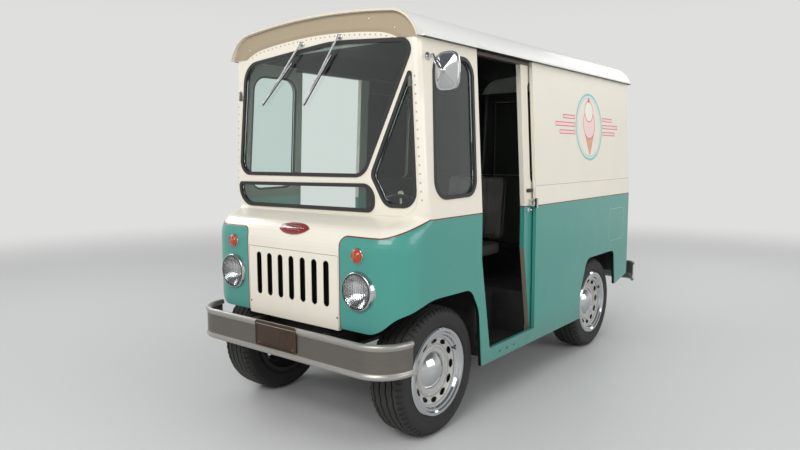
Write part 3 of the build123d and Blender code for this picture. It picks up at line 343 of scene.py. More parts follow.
def two_tone(place, extra=None):
    """Cream and turquoise skin with its line, seams and lining, painted shade in the hold and a painted highlight on
    the ridge and the lid's outline; extra(place, colour) may paint over the two tones.
    """
    x, y, z = place.xyz()
    gap = livery(place)
    stripe = abs(gap).step(0.0040, 0.0028)
    colour = stripe.blend(gap.step(-0.0006, 0.0006).blend(cream, turquoise), coach_red)
    if extra:
        colour = extra(place, colour)
    nose = y.step(-1.404, -1.406)
    side_seam = abs(abs(x) - nose_seam_x).step(0.0022, 0.0012) * z.step(0.378, 0.377)
    top_seam = abs(z - nose_seam_z).step(0.0022, 0.0012) * abs(x).step(0.348, 0.347)
    seam = side_seam.most(top_seam) * nose
    colour = seam.blend(colour, tone(0.10, 0.09, 0.08))
    # Inside the load body the lining is dark grey, as painted shade of the unlit hold.
    lining = y.step(-0.06, -0.03).blend(z.step(0.62, 0.60).blend(cabin_grey, cabin_green), hold_shade)
    colour = fittings(place, inner_side(place).blend(weathered(place, colour), weathered(place, lining, 2.0)))
    ridge = abs(z - ridge_z).step(0.0065, 0.0015) * y.step(-0.03, -0.02)
    lid_line = abs(lid(place)).step(0.0045, 0.0010)
    # A painted highlight: the ridge and the lid's outline are lightened towards white.
    colour = (ridge.most(lid_line) * 0.20).blend(colour, (1.0, 1.0, 0.96, 1.0))
    return repainted(place, colour, ridge * 0.0050 + lid_line * 0.0020)


paint = finish("body_paint", two_tone)
print("livery ready")

# %% [markdown]
# The load body carries a painted emblem: a plain ice cream cone inside a light blue ring, with coral
# speed bars, all drawn from circles and straight edges. For each shape the distance to its outline
# is worked out, and a soft step on that distance makes the paint edge.

# %% Emblem on the side panels
coral = tone(0.84, 0.33, 0.38)
sky_blue = tone(0.47, 0.77, 0.79)
blush = tone(0.97, 0.84, 0.82)
wafer = tone(0.90, 0.68, 0.48)
emblem_y, emblem_z = 0.84, 1.075
soft = 0.0014
ring_radius = 0.232
speed_bars = ((0.062, 0.44, 0.011), (0.010, 0.56, 0.012), (-0.042, 0.50, 0.011))  # height, reach, half thickness
scoops = ((0.022, 0.104, blush), (0.112, 0.074, tone(0.97, 0.95, 0.90)))  # height, radius, tint


def emblem(place, colour):
    """Lays the ring, the bars, the cone and the scoops over a colour, back to front."""
    _, y, z = place.xyz()
    a, b = y - emblem_y, z - emblem_z
    side = abs(a)

    def disc(height, radius):
        return (a * a + (b - height) * (b - height)).root() - radius

    def filled(gap, under, tint):
        return gap.step(soft, -soft).blend(under, tint)

    def line(gap, width, under, tint):
        return (abs(gap) - width).step(soft, -soft).blend(under, tint)

    ring = disc(0.0, ring_radius)
    colour = line(ring, 0.0085, colour, sky_blue)
    colour = line(ring + 0.022, 0.0022, colour, sky_blue)
    for height, reach, thick in speed_bars:
        bar = (abs(b - height) - thick).most(side - reach).most(0.252 - side)
        colour = filled(bar, colour, blush)
        colour = line(bar, 0.0032, colour, coral)
    taper = 0.90 * (side - (b + 0.200) * 0.52)
    cone = taper.most(b + 0.012).most(-0.205 - b)
    colour = filled(cone, colour, wafer)
    rising, falling = (abs(((a + b * lean) * 110.0).wave()) for lean in (0.55, -0.55))
    lattice = rising.least(falling).step(0.22, 0.12)
    colour = (lattice * cone.step(soft, -soft)).blend(colour, tone(0.74, 0.45, 0.30))
    colour = line(cone, 0.0034, colour, coral)
    for height, radius, tint in scoops:
        scoop = disc(height, radius)
        colour = filled(scoop, colour, tint)
        colour = line(scoop, 0.0036, colour, coral)
    return filled(disc(0.192, 0.018), colour, coral)


bright_metal = (0.58, 0.59, 0.60, 1.0)
side_paint = finish("side_paint", lambda place: two_tone(place, emblem))


def door_edge(place, colour):
    """The slanted lower front edge of a sliding door is bare grey."""
    _, ny, _ = place.facing()
    return (ny.step(-0.6, -0.8) * place.xyz()[2].step(0.300, 0.298)).blend(colour, tone(0.52, 0.48, 0.44))


def door_recipe(place):
    """The two tones, with the lifting handle of the door left as bright metal."""
    made = two_tone(place, door_edge)
    x, y, z = place.xyz()
    grip = abs(x).step(0.7072, 0.7078) * abs(y + 0.062).step(0.020, 0.019) * abs(z - 0.58).step(0.045, 0.043)
    made["Base Color"] = grip.blend(made["Base Color"], bright_metal)
    made["Metallic"] = grip * 1.0
    made["Roughness"] = made["Roughness"] * (1.0 - grip * 0.75)
    return made


door_paint = finish("door_paint", door_recipe)
print("emblem at y", emblem_y, "z", emblem_z)

# %% [markdown]
# The remaining paints cover panels of one colour: the white roof with painted shade in its cove under the
# visor, a painted shadow under its eaves and its dark underside, the cream grille and windscreen panels,
# and the turquoise engine cover. None is a single flat colour: each is the same old repaint, with soot, dust
# or painted shade on an edge laid over it by masks on the place and on the way that the surface faces.

# %% Plain paints
def single(colour, strength=1.0):
    """An old repaint in one colour."""
    def recipe(place):
        return repainted(place, weathered(place, colour, strength))
    return recipe


def roof_recipe(place):
    """White skin with soot on its lower edge; painted shade in the cove, a cream front lip, a painted shadow on the
    eaves and a dark inside.
    """
    x, y, z = place.xyz()
    _, facing, rising = place.facing()
    # The cove under the visor gets painted shade: a darker beige.
    cove = y.step(-1.190, -1.200) * y.step(-1.2385, -1.2375) * facing.step(-0.2, -0.4) * abs(x).step(0.706, 0.704)
    soot = place.noise(5.0, 5.0, 0.6).step(0.50, 0.75) * z.step(1.50, 1.46)
    white = (soot * 0.20).blend(tone(0.915, 0.915, 0.895), tone(0.62, 0.60, 0.55))
    under = rising.step(-0.2, -0.4) * abs(x).step(0.690, 0.688) * y.step(-1.17, -1.16)
    # A painted shadow: downward faces of the roof's skirt turn near black.
    eaves = rising.step(-0.5, -0.7) * abs(x).step(0.686, 0.690) * z.step(1.462, 1.460)
    white = y.step(-1.2345, -1.2365).blend(white, tone(0.87, 0.83, 0.75))
    # The cove's beige is painted shade; the underside is dark.
    lined = under.blend(cove.blend(white, tone(0.66, 0.60, 0.50)), tone(0.24, 0.25, 0.24))
    lined = eaves.blend(lined, tone(0.13, 0.13, 0.12))
    return {"Base Color": lined, "Roughness": 0.40 + place.noise(8.0) * 0.18, "Coat Weight": 0.1,
            "Coat Roughness": 0.12, "Specular IOR Level": 0.35,
            "Bump": (place.noise(70.0, 2.0) * 0.0003 + place.noise(4.0) * 0.002, 1.0)}


def panel_recipe(place):
    """Cream outside and grey inside, with the edges of the grille's slots in dark shade."""
    ny = place.facing()[1]
    made = single(cream)(place)
    made["Base Color"] = ny.step(0.3, 0.5).blend(made["Base Color"], cabin_grey)
    x, y, z = place.xyz()
    field = abs(x).step(0.33, 0.32) * z.step(0.09, 0.10) * z.step(0.36, 0.355)
    slots = abs(ny).step(0.75, 0.55) * field * y.step(-1.4238, -1.4228)
    made["Base Color"] = slots.blend(made["Base Color"], tone(0.06, 0.06, 0.055))
    return made


cream_paint = finish("cream_paint", panel_recipe)
roof_paint = finish("roof_paint", roof_recipe)
cover_paint = finish("cover_paint", single(turquoise, 1.5))
print("paints", cream_paint.name, roof_paint.name, cover_paint.name)

# %% [markdown]
# Metals come next. Old chrome is bright with a light haze and scattered dark pits. The bumpers are
# satin silver, with painted shade on the flat web and a painted highlight on the rolls. A wheel is silver on
# its disc, plated on its cap and trim ring, and painted black between as shade. Frame, axles and engine are painted
# iron with some rust.

# %% Metals
def from_axle(place):
    """Distance along and above the nearer axle's middle, and the straight distance from it."""
    _, y, z = place.xyz()
    along, up = abs(y) - axle_y, z - axle_z
    return along, up, (along * along + up * up).root()


def chrome_recipe(place):
    """Bright metal with haze and small dark pits."""
    haze = place.noise(30.0, 4.0, 0.6)
    pits = place.noise(260.0, 2.0).step(0.66, 0.74)
    return {"Base Color": (pits * 0.5).blend(bright_metal, (0.24, 0.22, 0.19, 1.0)), "Metallic": 1.0,
            "Roughness": 0.05 + haze * 0.10 + pits * 0.2, "Bump": (place.noise(18.0, 2.0) * 0.0003, 1.0)}


def silver_recipe(place):
    """Silver paint with rubs drawn out along the bar and dark chips; the rolls above and below the web are paler, as a
    painted highlight, and the web darker, as painted shade.
    """
    rubs = place.scaled((3.0, 3.0, 60.0)).noise(6.0, 4.0, 0.6)
    chips = place.noise(90.0, 3.0, 0.6).step(0.70, 0.78)
    # Painted highlight and shade: the rolls get a much paler silver than the flat web.
    rolled = abs(place.xyz()[2] - web_middle_z).step(0.0535, 0.0575)
    tint = rubs.blend((0.135, 0.125, 0.108, 1.0), (0.205, 0.192, 0.17, 1.0))
    tint = rolled.blend(tint, rubs.blend((0.36, 0.345, 0.315, 1.0), (0.48, 0.465, 0.43, 1.0)))
    return {"Base Color": (chips * 0.6).blend(tint, (0.12, 0.11, 0.10, 1.0)), "Metallic": 0.75,
            "Roughness": 0.34 + rubs * 0.14, "Bump": (place.noise(120.0, 3.0) * 0.0003, 1.0)}


def wheel_recipe(place):
    """Silver paint over the pressed disc and the rim barrel, chrome over the domed cap and the stepped trim ring; the
    back of the wheel and the disc behind the vented dish are near black, as painted shade.
    """
    x = place.xyz()[0]
    _, _, radius = from_axle(place)
    outer = abs(x).step(0.664, 0.666)
    plated = (radius.step(0.1765, 0.1780) * outer).most(radius.step(0.1008, 0.1002) * abs(x).step(0.640, 0.641))
    grime = place.noise(22.0, 4.0, 0.6)
    painted = (grime * 0.45).blend((0.60, 0.595, 0.57, 1.0), (0.24, 0.225, 0.20, 1.0))
    # Painted shade: the disc behind the vented dish and every face behind the disc turn near black.
    groove = radius.step(0.1390, 0.1400) * radius.step(0.1775, 0.1765) * abs(x).step(0.6532, 0.6524)
    inward = abs(x).step(0.642, 0.636).most(groove)
    painted = (inward * 0.95).blend(painted, (0.010, 0.010, 0.010, 1.0))
    return {"Base Color": plated.blend(painted, bright_metal), "Metallic": 0.35 + plated * 0.65,
            "Roughness": 0.42 - plated * 0.34 + grime * 0.06, "Bump": (place.noise(60.0) * 0.0003, 1.0)}


def iron_recipe(colour, rough):
    """Black or grey iron with brown rust in patches."""
    def recipe(place):
        rust = place.noise(14.0, 5.0, 0.65).step(0.52, 0.70)
        return {"Base Color": (rust * 0.45).blend(colour, tone(0.30, 0.20, 0.14)), "Metallic": 0.25,
                "Roughness": rough + rust * 0.25, "Bump": (place.noise(80.0, 4.0, 0.6) * 0.0008, 1.0)}
    return recipe


web_middle_z = -0.0945
chrome = finish("chrome", chrome_recipe)
silver = finish("silver_paint", silver_recipe)
wheel_finish = finish("wheel_finish", wheel_recipe)
chassis_black = finish("chassis_black", iron_recipe(tone(0.10, 0.10, 0.10), 0.45))
cast_iron = finish("cast_iron", iron_recipe(tone(0.27, 0.29, 0.27), 0.50))
dull_steel = finish("dull_steel", iron_recipe(tone(0.38, 0.36, 0.34), 0.40))
core_black = finish("core_black", lambda place: {
    "Base Color": tone(0.05, 0.05, 0.05), "Roughness": 0.6,
    "Bump": (abs((place.xyz()[0] * 900.0).wave()) * 0.002 + place.noise(30.0) * 0.001, 1.0)})
print("metals", chrome.name, silver.name, wheel_finish.name, chassis_black.name)

# %% [markdown]
# The soft and clear materials: rubber with a grey bloom, tyre walls with moulded rings, green tinted
# glass, fluted lamp covers, lamp lenses with prisms, hard plastics, the ribbed floor mat and the
# pebbled vinyl of the seat. Glass is clear because light passes through it and bends, so the panes
# keep the thickness that the CAD gave them.

# %% Rubber, plastics and glass
def rubber_recipe(place):
    """Black rubber with a grey bloom."""
    bloom = place.noise(25.0, 4.0, 0.6)
    return {"Base Color": bloom.blend((0.012, 0.012, 0.012, 1.0), (0.032, 0.031, 0.029, 1.0)),
            "Roughness": 0.48 + bloom * 0.2, "Bump": (place.noise(300.0, 3.0) * 0.0002, 1.0)}


def tyre_recipe(place):
    """Black rubber with moulded rings on the wall, fine cuts across the tread and dust on the crown."""
    x = place.xyz()[0]
    along, up, radius = from_axle(place)
    crown = radius.step(0.333, 0.340)
    dust = place.noise(40.0, 5.0, 0.65)
    tint = (dust * (0.18 + crown * 0.50)).blend((0.010, 0.010, 0.010, 1.0), (0.060, 0.056, 0.049, 1.0))
    rings = abs((radius * 900.0).wave()).step(0.0, 1.0) * radius.step(0.245, 0.247) * radius.step(0.262, 0.260)
    turn = up.maths("ARCTAN2", up, along)
    cuts = (turn * 150.0 + x * 400.0).wave().step(0.80, 0.95) * crown
    return {"Base Color": tint, "Roughness": 0.52 + dust * 0.25,
            "Bump": (rings * 0.0006 - cuts * 0.0012 + place.noise(220.0, 3.0) * 0.0002, 1.0)}


def glass_recipe(colour, ribs=0.0):
    """Clear tinted glass with faint dull patches; ribs is the depth of upright flutes, in metres."""
    def recipe(place):
        flute = (place.xyz()[0] * 520.0).wave() * ribs if ribs else place.noise(2.0) * 0.0008
        return {"Base Color": colour, "Transmission Weight": 1.0, "IOR": 1.45,
                "Roughness": place.noise(60.0, 3.0).step(0.62, 0.80) * 0.06, "Bump": (flute, 1.0)}
    return recipe


rubber = finish("rubber", rubber_recipe)
tyre_rubber = finish("tyre_rubber", tyre_recipe)
window_glass = finish("window_glass", glass_recipe((0.83, 0.93, 0.90, 1.0)))
lamp_glass = finish("lamp_glass", glass_recipe((0.97, 0.98, 0.97, 1.0), 0.0006))


def lens_recipe(colour, deep):
    """Moulded lamp plastic: small prisms pressed in a lattice, with painted shade in their valleys."""
    def recipe(place):
        x, _, z = place.xyz()
        prism = abs(((x + z) * 420.0).wave()) * abs(((x - z) * 420.0).wave())
        # The deep colour is painted shade in the prisms' valleys.
        return {"Base Color": prism.blend(deep, colour), "Roughness": 0.12, "Coat Weight": 1.0,
                "Coat Roughness": 0.03, "Bump": (prism * 0.0025, 1.0)}
    return recipe


amber = finish("amber_lens", lens_recipe(tone(0.93, 0.36, 0.0), tone(0.60, 0.15, 0.0)))
red_lens = finish("red_lens", lens_recipe(tone(0.80, 0.08, 0.07), tone(0.36, 0.02, 0.02)))
black_plastic = finish("black_plastic", lambda place: {
    "Base Color": tone(0.09, 0.09, 0.09), "Roughness": 0.32 + place.noise(30.0) * 0.15,
    "Bump": (place.noise(200.0, 3.0) * 0.0002, 1.0)})
ivory_plastic = finish("ivory_plastic", lambda place: {
    "Base Color": place.noise(50.0).blend(tone(0.90, 0.87, 0.72), tone(0.80, 0.76, 0.60)), "Roughness": 0.25,
    "Coat Weight": 0.5, "Bump": (place.noise(40.0) * 0.0003, 1.0)})


def mat_recipe(place):
    """Dark ribbed floor rubber, worn pale where feet land."""
    ribs = abs((place.xyz()[0] * 260.0).wave()).step(0.25, 0.6)
    wear = place.noise(4.0, 4.0, 0.6).step(0.50, 0.72)
    return {"Base Color": (wear * 0.5).blend(tone(0.15, 0.15, 0.15), tone(0.30, 0.29, 0.27)),
            "Roughness": 0.62 - wear * 0.12, "Bump": (ribs * 0.0008 + place.noise(90.0) * 0.0005, 1.0)}


floor_mat = finish("floor_mat", mat_recipe)


def vinyl_recipe(place):
    """Blackish brown vinyl: a pebbled grain of cells, glossier where it is rubbed."""
    grain = place.cells(420.0)
    rubbed = place.noise(6.0, 3.0).step(0.45, 0.65)
    return {"Base Color": rubbed.blend(tone(0.13, 0.115, 0.10), tone(0.18, 0.155, 0.135)),
            "Roughness": 0.50 - rubbed * 0.14,
            "Bump": (grain.step(0.0, 0.25) * 0.0004 + place.noise(30.0) * 0.0006, 1.0)}


vinyl = finish("seat_vinyl", vinyl_recipe)
print("finishes", len(bpy.data.materials))

# %% [markdown]
# Panels whose CAD shape is already right keep their solids and only take a finish. The table goes
# from the first letters of a node's name to its finish.

# %% Finish the CAD nodes
finish_table = (
    ("side_panel", side_paint), ("cab_shell", paint), ("sliding_door", door_paint), ("rear_frame", paint),
    ("rear_door", paint), ("grille_panel", cream_paint), ("windscreen_panel", cream_paint), ("roof", roof_paint),
    ("engine_cover", cover_paint), ("cab_floor", floor_mat), ("load_floor", floor_mat),
    ("door_rails", dull_steel), ("cab_glass", window_glass), ("sliding_glass", window_glass),
    ("window_rubbers", rubber), ("wheel_", wheel_finish), ("tyre_", tyre_rubber),
    ("front_bumper", silver), ("rear_bumper", silver), ("chassis_frame", chassis_black),
    ("leaf_springs", chassis_black), ("front_axle", chassis_black), ("rear_axle", chassis_black),
    ("knuckle", chassis_black), ("driveshaft", dull_steel), ("engine_block", cast_iron),
    ("radiator", core_black), ("fuel_tank", chassis_black), ("exhaust", dull_steel),
    ("seat_base", chassis_black), ("steering_column", black_plastic), ("steering_wheel", black_plastic),
    ("gear_lever", ivory_plastic), ("headlight", chrome), ("turn_signals", amber), ("tail_lamps", red_lens),
    ("wipers", chrome), ("mirror", chrome), ("seat_cushions", vinyl),
)
for name, node in nodes.items():
    made = next(made for start, made in finish_table if name.startswith(start))
    for slot in node.material_slots:
        slot.material = made
print("finished nodes", len(nodes))

# %% [markdown]
# Tyres, lamps, trim and seat are added as new surfaces. Each is a net of points worked out from a
# formula with numpy, and the faces between the rows and columns of that net always come from the
# same rule. A round piece is a profile turned about an axis, a bar is a ring carried along a path,
# and a pressed plate is an outline drawn in towards its middle while its height changes.

# %% Surface helpers
def net(rows, columns, ring_rows=False, ring_columns=True):
    """Four-sided faces over rows x columns points; a ring direction joins its last line to its first."""
    row = np.arange(rows if ring_rows else rows - 1)[:, None]
    column = np.arange(columns if ring_columns else columns - 1)[None, :]
    above, beside = (row + 1) % rows, (column + 1) % columns
    corners = (row * columns + column, row * columns + beside, above * columns + beside, above * columns + column)
    return np.stack(corners, -1).reshape(-1, 4)


def put(name, forms, material, body="truck", crease=38.0, stands_for=()):
    """One object from (points, faces) forms: doubles merged, faces outwards, edges past crease degrees sharp."""
    points = np.concatenate([np.asarray(p).reshape(-1, 3) for p, _ in forms])
    faces, first = [], 0
    for p, f in forms:
        faces += [[first + corner for corner in face] for face in np.asarray(f).tolist()]
        first += np.asarray(p).size // 3
    mesh = bpy.data.meshes.new(name)
    mesh.from_pydata(points.tolist(), [], faces)
    work = bmesh.new()
    work.from_mesh(mesh)
    bmesh.ops.remove_doubles(work, verts=work.verts, dist=2e-5)
    bmesh.ops.recalc_face_normals(work, faces=work.faces)
    work.to_mesh(mesh)
    work.free()
    mesh.polygons.foreach_set("use_smooth", [True] * len(mesh.polygons))
    mesh.set_sharp_from_angle(angle=radians(crease))
    mesh.materials.append(material)
    piece = hang(name, mesh)
    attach(piece, body)
    if stands_for:
        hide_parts(*stands_for)
    return piece


def turned(profile, centre, along, count=48):
    """Points (s, r) of a profile turned round an axis: centre + s*along + r*(cos a*side + sin a*up)."""
    along = Vector(along).normalized()
    side = along.orthogonal().normalized()
    up = along.cross(side)
    s, r = np.array(profile, float).T
    a = np.arange(count) * 2 * pi / count
    round_it = np.cos(a)[:, None] * np.array(side) + np.sin(a)[:, None] * np.array(up)
    points = np.array(centre) + s[:, None, None] * np.array(along) + r[:, None, None] * round_it
    return points.reshape(-1, 3), net(len(s), count)


def smooth(points, count):
    """A curve that passes evenly through the points: on each span a cubic whose slopes are those of its neighbours."""
    p = np.array(points, float)
    p = np.vstack([2 * p[0] - p[1], p, 2 * p[-1] - p[-2]])
    u = np.linspace(0, len(p) - 3 - 1e-9, count)
    i, f = u.astype(int), (u % 1)[:, None]
    a, b, c, d = p[i], p[i + 1], p[i + 2], p[i + 3]
    return 0.5 * (2 * b + (c - a) * f + (2 * a - 5 * b + 4 * c - d) * f ** 2 + (3 * b - a - 3 * c + d) * f ** 3)


def tube(path, radius, sides=14, flat=1.0, face=(0, 0, 1)):
    """A ring (radius*cos a, flat*radius*sin a) carried along a path, with a small dome on each end."""
    path = np.array(path, float)
    radius = np.full(len(path), radius, float) if np.isscalar(radius) else np.array(radius, float)
    step = np.gradient(path, axis=0)
    step /= np.linalg.norm(step, axis=1, keepdims=True)
    wide = np.cross(step, face)
    wide /= np.linalg.norm(wide, axis=1, keepdims=True)
    thick = np.cross(wide, step)
    ends = ((0, -0.5, 0.8), (0, -0.9, 0.35), (0, -1.0, 0.0))
    rows, sizes, slip = list(range(len(path))), [1.0] * len(path), [0.0] * len(path)
    for _, out, size in ends:
        rows, sizes, slip = [0] + rows + [len(path) - 1], [size] + sizes + [size], [out] + slip + [-out]
    a = np.arange(sides) * 2 * pi / sides
    r = (radius[rows] * np.array(sizes))[:, None, None]
    centre = path[rows] + step[rows] * (radius[rows] * np.array(slip) * 0.7)[:, None]
    across = np.cos(a)[:, None] * wide[rows][:, None] + flat * np.sin(a)[:, None] * thick[rows][:, None]
    points = centre[:, None] + r * across
    return points.reshape(-1, 3), net(len(rows), sides)


def rounded(width, height, corner, steps=7):
    """Outline of a rectangle with round corners, as (u, v) points, counter-clockwise."""
    a = np.linspace(0, pi / 2, steps)
    flat_u, flat_v = width / 2 - corner, height / 2 - corner
    arcs = [np.stack([cx * flat_u + corner * np.cos(a + turn), cy * flat_v + corner * np.sin(a + turn)], -1)
            for cx, cy, turn in ((1, 1, 0), (-1, 1, pi / 2), (-1, -1, pi), (1, -1, 3 * pi / 2))]
    return np.concatenate(arcs)


def lofted(rows):
    """Outlines with equal numbers of points, joined from row to row."""
    return np.concatenate(rows), net(len(rows), len(rows[0]))


def pressed(outline, profile, origin, u=(1, 0, 0), v=(0, 0, 1)):
    """Outline points drawn in by each step's first number and raised by its second; both ends close at the middle."""
    outline = np.array(outline, float)
    middle = outline.mean(0)
    out = outline - middle
    reach = np.linalg.norm(out, axis=1, keepdims=True)
    u, v = np.array(u, float), np.array(v, float)
    n = np.cross(u, v)
    rows = []
    for inset, height in [(1e9, profile[0][1])] + list(profile) + [(1e9, profile[-1][1])]:
        flat = middle + out * np.clip(1 - inset / reach, 0, None)
        rows.append(np.array(origin) + flat[:, :1] * u + flat[:, 1:] * v + height * n)
    return lofted(rows)


def domes(hits, radius, height, sides=10):
    """A low round head on each (place, outward direction): a foot, three rings and a top."""
    head = [(-0.001, 0), (-0.001, radius), (0.0, radius), (height * 0.6, radius * 0.8), (height, radius * 0.4),
            (height * 1.1, 0)]
    return [turned(head, place, normal, sides) for place, normal in hits]


def both_sides(profile, place, way, count):
    """The same turned profile on the left and, mirrored in x, on the right."""
    return [turned(profile, (side * place[0], place[1], place[2]), way, count) for side in (1, -1)]


def touch(node, start, way):
    """Where a straight line from start first meets a CAD node, and the outward direction there."""
    hit, place, normal, _ = nodes[node].ray_cast(Vector(start), Vector(way).normalized())
    if not hit:
        raise RuntimeError(f"nothing of {node} in the way of {start}")
    return np.array(place), np.array(normal)


print("surface helpers ready")

# %% [markdown]
# Each tyre has a road tread: four grooves that zigzag round the crown, slots cut in from both
# shoulders, and a smooth wall with a raised rib. Every row of the net is one station across the
# tyre, and the columns go round it. Stations beside a groove shift a little from column to column.

# %% Tyre tread
tyre_x = 0.5875
pitches = 60
crown_radius, crown_drop, crown_half = 0.3438, 0.0038, 0.0775
wall = [(0.0950, 0.2170), (0.0970, 0.2180), (0.0970, 0.2355), (0.1010, 0.2440), (0.1043, 0.2500), (0.1048, 0.2535),
        (0.1062, 0.2560), (0.1062, 0.2600), (0.1054, 0.2630), (0.1072, 0.2750), (0.1075, 0.2860), (0.1066, 0.3000),
        (0.1048, 0.3120)]
shoulder = [(0.1012, 0.3200, 1.0), (0.0985, 0.3238, 1.0), (0.0930, 0.3300, 1.0), (0.0850, 0.3362, 1.0),
            (0.0765, 0.3398, 1.0), (0.0755, 0.3400, 0.0)]
grooves = (0.0580, 0.0205)
groove_half, groove_deep, zigzag, slot_deep = 0.0042, 0.0085, 0.0028, 0.0060


def crown(x):
    """Radius of the tread at a distance x from the middle: 344 mm, falling with x squared."""
    return crown_radius - crown_drop * (x / crown_half) ** 2


def tread_stations():
    """(x, radius, zigzag share, shoulder slot share) from the outer bead to the inner bead."""
    half = [(x, r, 0, 0) for x, r in wall] + [(x, r, 0, cut) for x, r, cut in shoulder]
    for middle in grooves:
        for x, deep in ((middle + groove_half + 0.0004, 0), (middle + groove_half - 0.0012, 1),
                        (middle - groove_half + 0.0012, 1), (middle - groove_half - 0.0004, 0)):
            half.append((x, crown(x) - deep * groove_deep, 1, 0))
        if middle > 0.03:
            half.append((0.0395, crown(0.0395), 0, 0))
    left = [(-x, r, -zig, cut) for x, r, zig, cut in reversed(half)]
    return np.array(half + [(0.0, crown(0.0), 0, 0)] + left)


def tyre_form(centre):
    """Station x + zigzag*tri(a) and radius r - slot(a)*depth, turned round the axle by the angle a."""
    share = np.array([0.0, 0.05, 0.30, 0.35, 0.68])
    a = ((np.arange(pitches)[:, None] + share) / pitches).ravel()
    slot = np.tile([0.0, 1.0, 1.0, 0.0, 0.0], pitches)
    tri = np.abs((a * pitches * 0.5) % 1.0 - 0.5) * 4.0 - 1.0
    x, r, zig, cut = tread_stations().T[:, :, None]
    other = np.roll(slot, len(slot) // 2 + 2)
    cutting = np.where(x > 0, slot, other)
    radius = r - cut * cutting * slot_deep
    across = x + np.abs(zig) * zigzag * tri
    turn = a * 2 * pi
    points = np.stack([centre[0] + across + 0 * turn, centre[1] + radius * np.cos(turn),
                       centre[2] + radius * np.sin(turn)], -1)
    return points.reshape(-1, 3), net(len(x), len(a), True)


wheel_places = {f"{end}_{hand}": (side * tyre_x, y, axle_z)
                for end, y in (("front", -axle_y), ("rear", axle_y)) for hand, side in (("left", 1), ("right", -1))}
for name, centre in wheel_places.items():
    piece = put(f"tread_{name}", [tyre_form(centre)], tyre_rubber, f"road_wheel_{name}", 32.0, (f"tyre_{name}",))
print("tyre faces", len(piece.data.polygons))

# %% [markdown]
# Near its edge a pressed wheel disc flares out to the trim ring, with twelve oval vents in the flare.
# A vent is a hole, so the flare is laid out on a polar grid whose rows part round each hole and
# meet again on the bridges between them, and each row at a hole turns inwards as a pressed lip.

# %% Vented wheel dishes
vent_count, vent_radius, vent_rise, vent_reach = 12, 0.1595, 0.0142, 0.162
dish_inner, dish_outer = (0.1375, 0.0648), (0.1768, 0.0780)


def dish_forms(side, centre):
    """Polar nets of radius and turn: height x = start + rise * share^1.4, the middle row moved off the vent circle by
    rise * sqrt(1 - (turn / reach)^2) inside a vent, inwards on the inner net and outwards on the outer net."""
    turn = np.linspace(0, 2 * pi, vent_count * 28 + 1)
    off = (turn + pi / vent_count) % (2 * pi / vent_count) - pi / vent_count
    gape = vent_rise * np.sqrt(np.clip(1 - (off / vent_reach) ** 2, 0, 1))
    forms = []
    for first, way in ((dish_inner[0], -1), (dish_outer[0], 1)):
        edge = vent_radius + way * gape
        share = np.linspace(0, 1, 6)[:, None]
        rows = first + share * (edge - first)
        rows = np.vstack([rows, edge[None] - way * 0.0012, edge[None] - way * 0.0014])
        rise = ((rows - dish_inner[0]) / (dish_outer[0] - dish_inner[0])) ** 1.4
        out = dish_inner[1] + (dish_outer[1] - dish_inner[1]) * rise
        out[-2] -= 0.0012 * (gape > 0)
        out[-1] -= 0.0045 * (gape > 0)
        rows[-2:] = np.where(gape > 0, rows[-2:], edge)
        across = np.broadcast_to(centre[0] + side * out, rows.shape)
        points = np.stack([across, centre[1] + rows * np.cos(turn), centre[2] + rows * np.sin(turn)], -1)
        forms.append((points, net(points.shape[0], points.shape[1])))
    return forms


for name, centre in wheel_places.items():
    side = 1 if centre[0] > 0 else -1
    put(f"wheel_dish_{name}", dish_forms(side, centre), wheel_finish, f"road_wheel_{name}")
print("vents on each wheel", vent_count)

# %% [markdown]
# On each wheel a raised ring runs round the domed cap, and a rubber valve stem stands out through
# the pressed disc, 30 degrees up from the axle towards the rear.

# %% Wheel rings and valve stems
disc_ring_radius, disc_ring_x = 0.1290, 0.0625
ring_half, ring_height, ring_foot = 0.0065, 0.0045, disc_ring_x - 0.0020
arch = [(disc_ring_x + ring_height * sin(v), disc_ring_radius + ring_half * cos(v)) for v in np.linspace(0, pi, 9)]
ring = [(ring_foot, disc_ring_radius + ring_half)] + arch \
    + [(ring_foot, disc_ring_radius - ring_half), (ring_foot, disc_ring_radius + ring_half)]
stem_radius, stem_turn = 0.188, radians(30)
stem = [(0, 0), (0, 0.0085), (0.005, 0.0085), (0.008, 0.0050), (0.026, 0.0042), (0.027, 0.0052), (0.038, 0.0052),
        (0.040, 0.0040), (0.040, 0)]
for name, centre in wheel_places.items():
    side = 1 if centre[0] > 0 else -1
    put(f"disc_ring_{name}", [turned(ring, centre, (side, 0, 0), 96)], wheel_finish, f"road_wheel_{name}")
    foot = np.array(centre) + (side * 0.060, stem_radius * cos(stem_turn), stem_radius * sin(stem_turn))
    put(f"valve_stem_{name}", [turned(stem, foot, (side, 0, -0.25), 16)], rubber, f"road_wheel_{name}")
print("wheel rings", len(wheel_places))

# %% [markdown]
# A headlamp is a fluted glass cover in a deep chromed ring, with a black gasket between the two, and
# a bright reflector bowl and a shielded bulb behind it. Each is one profile turned round the lamp's
# axis. The glass has a real thickness, so that it bends what is seen through it.

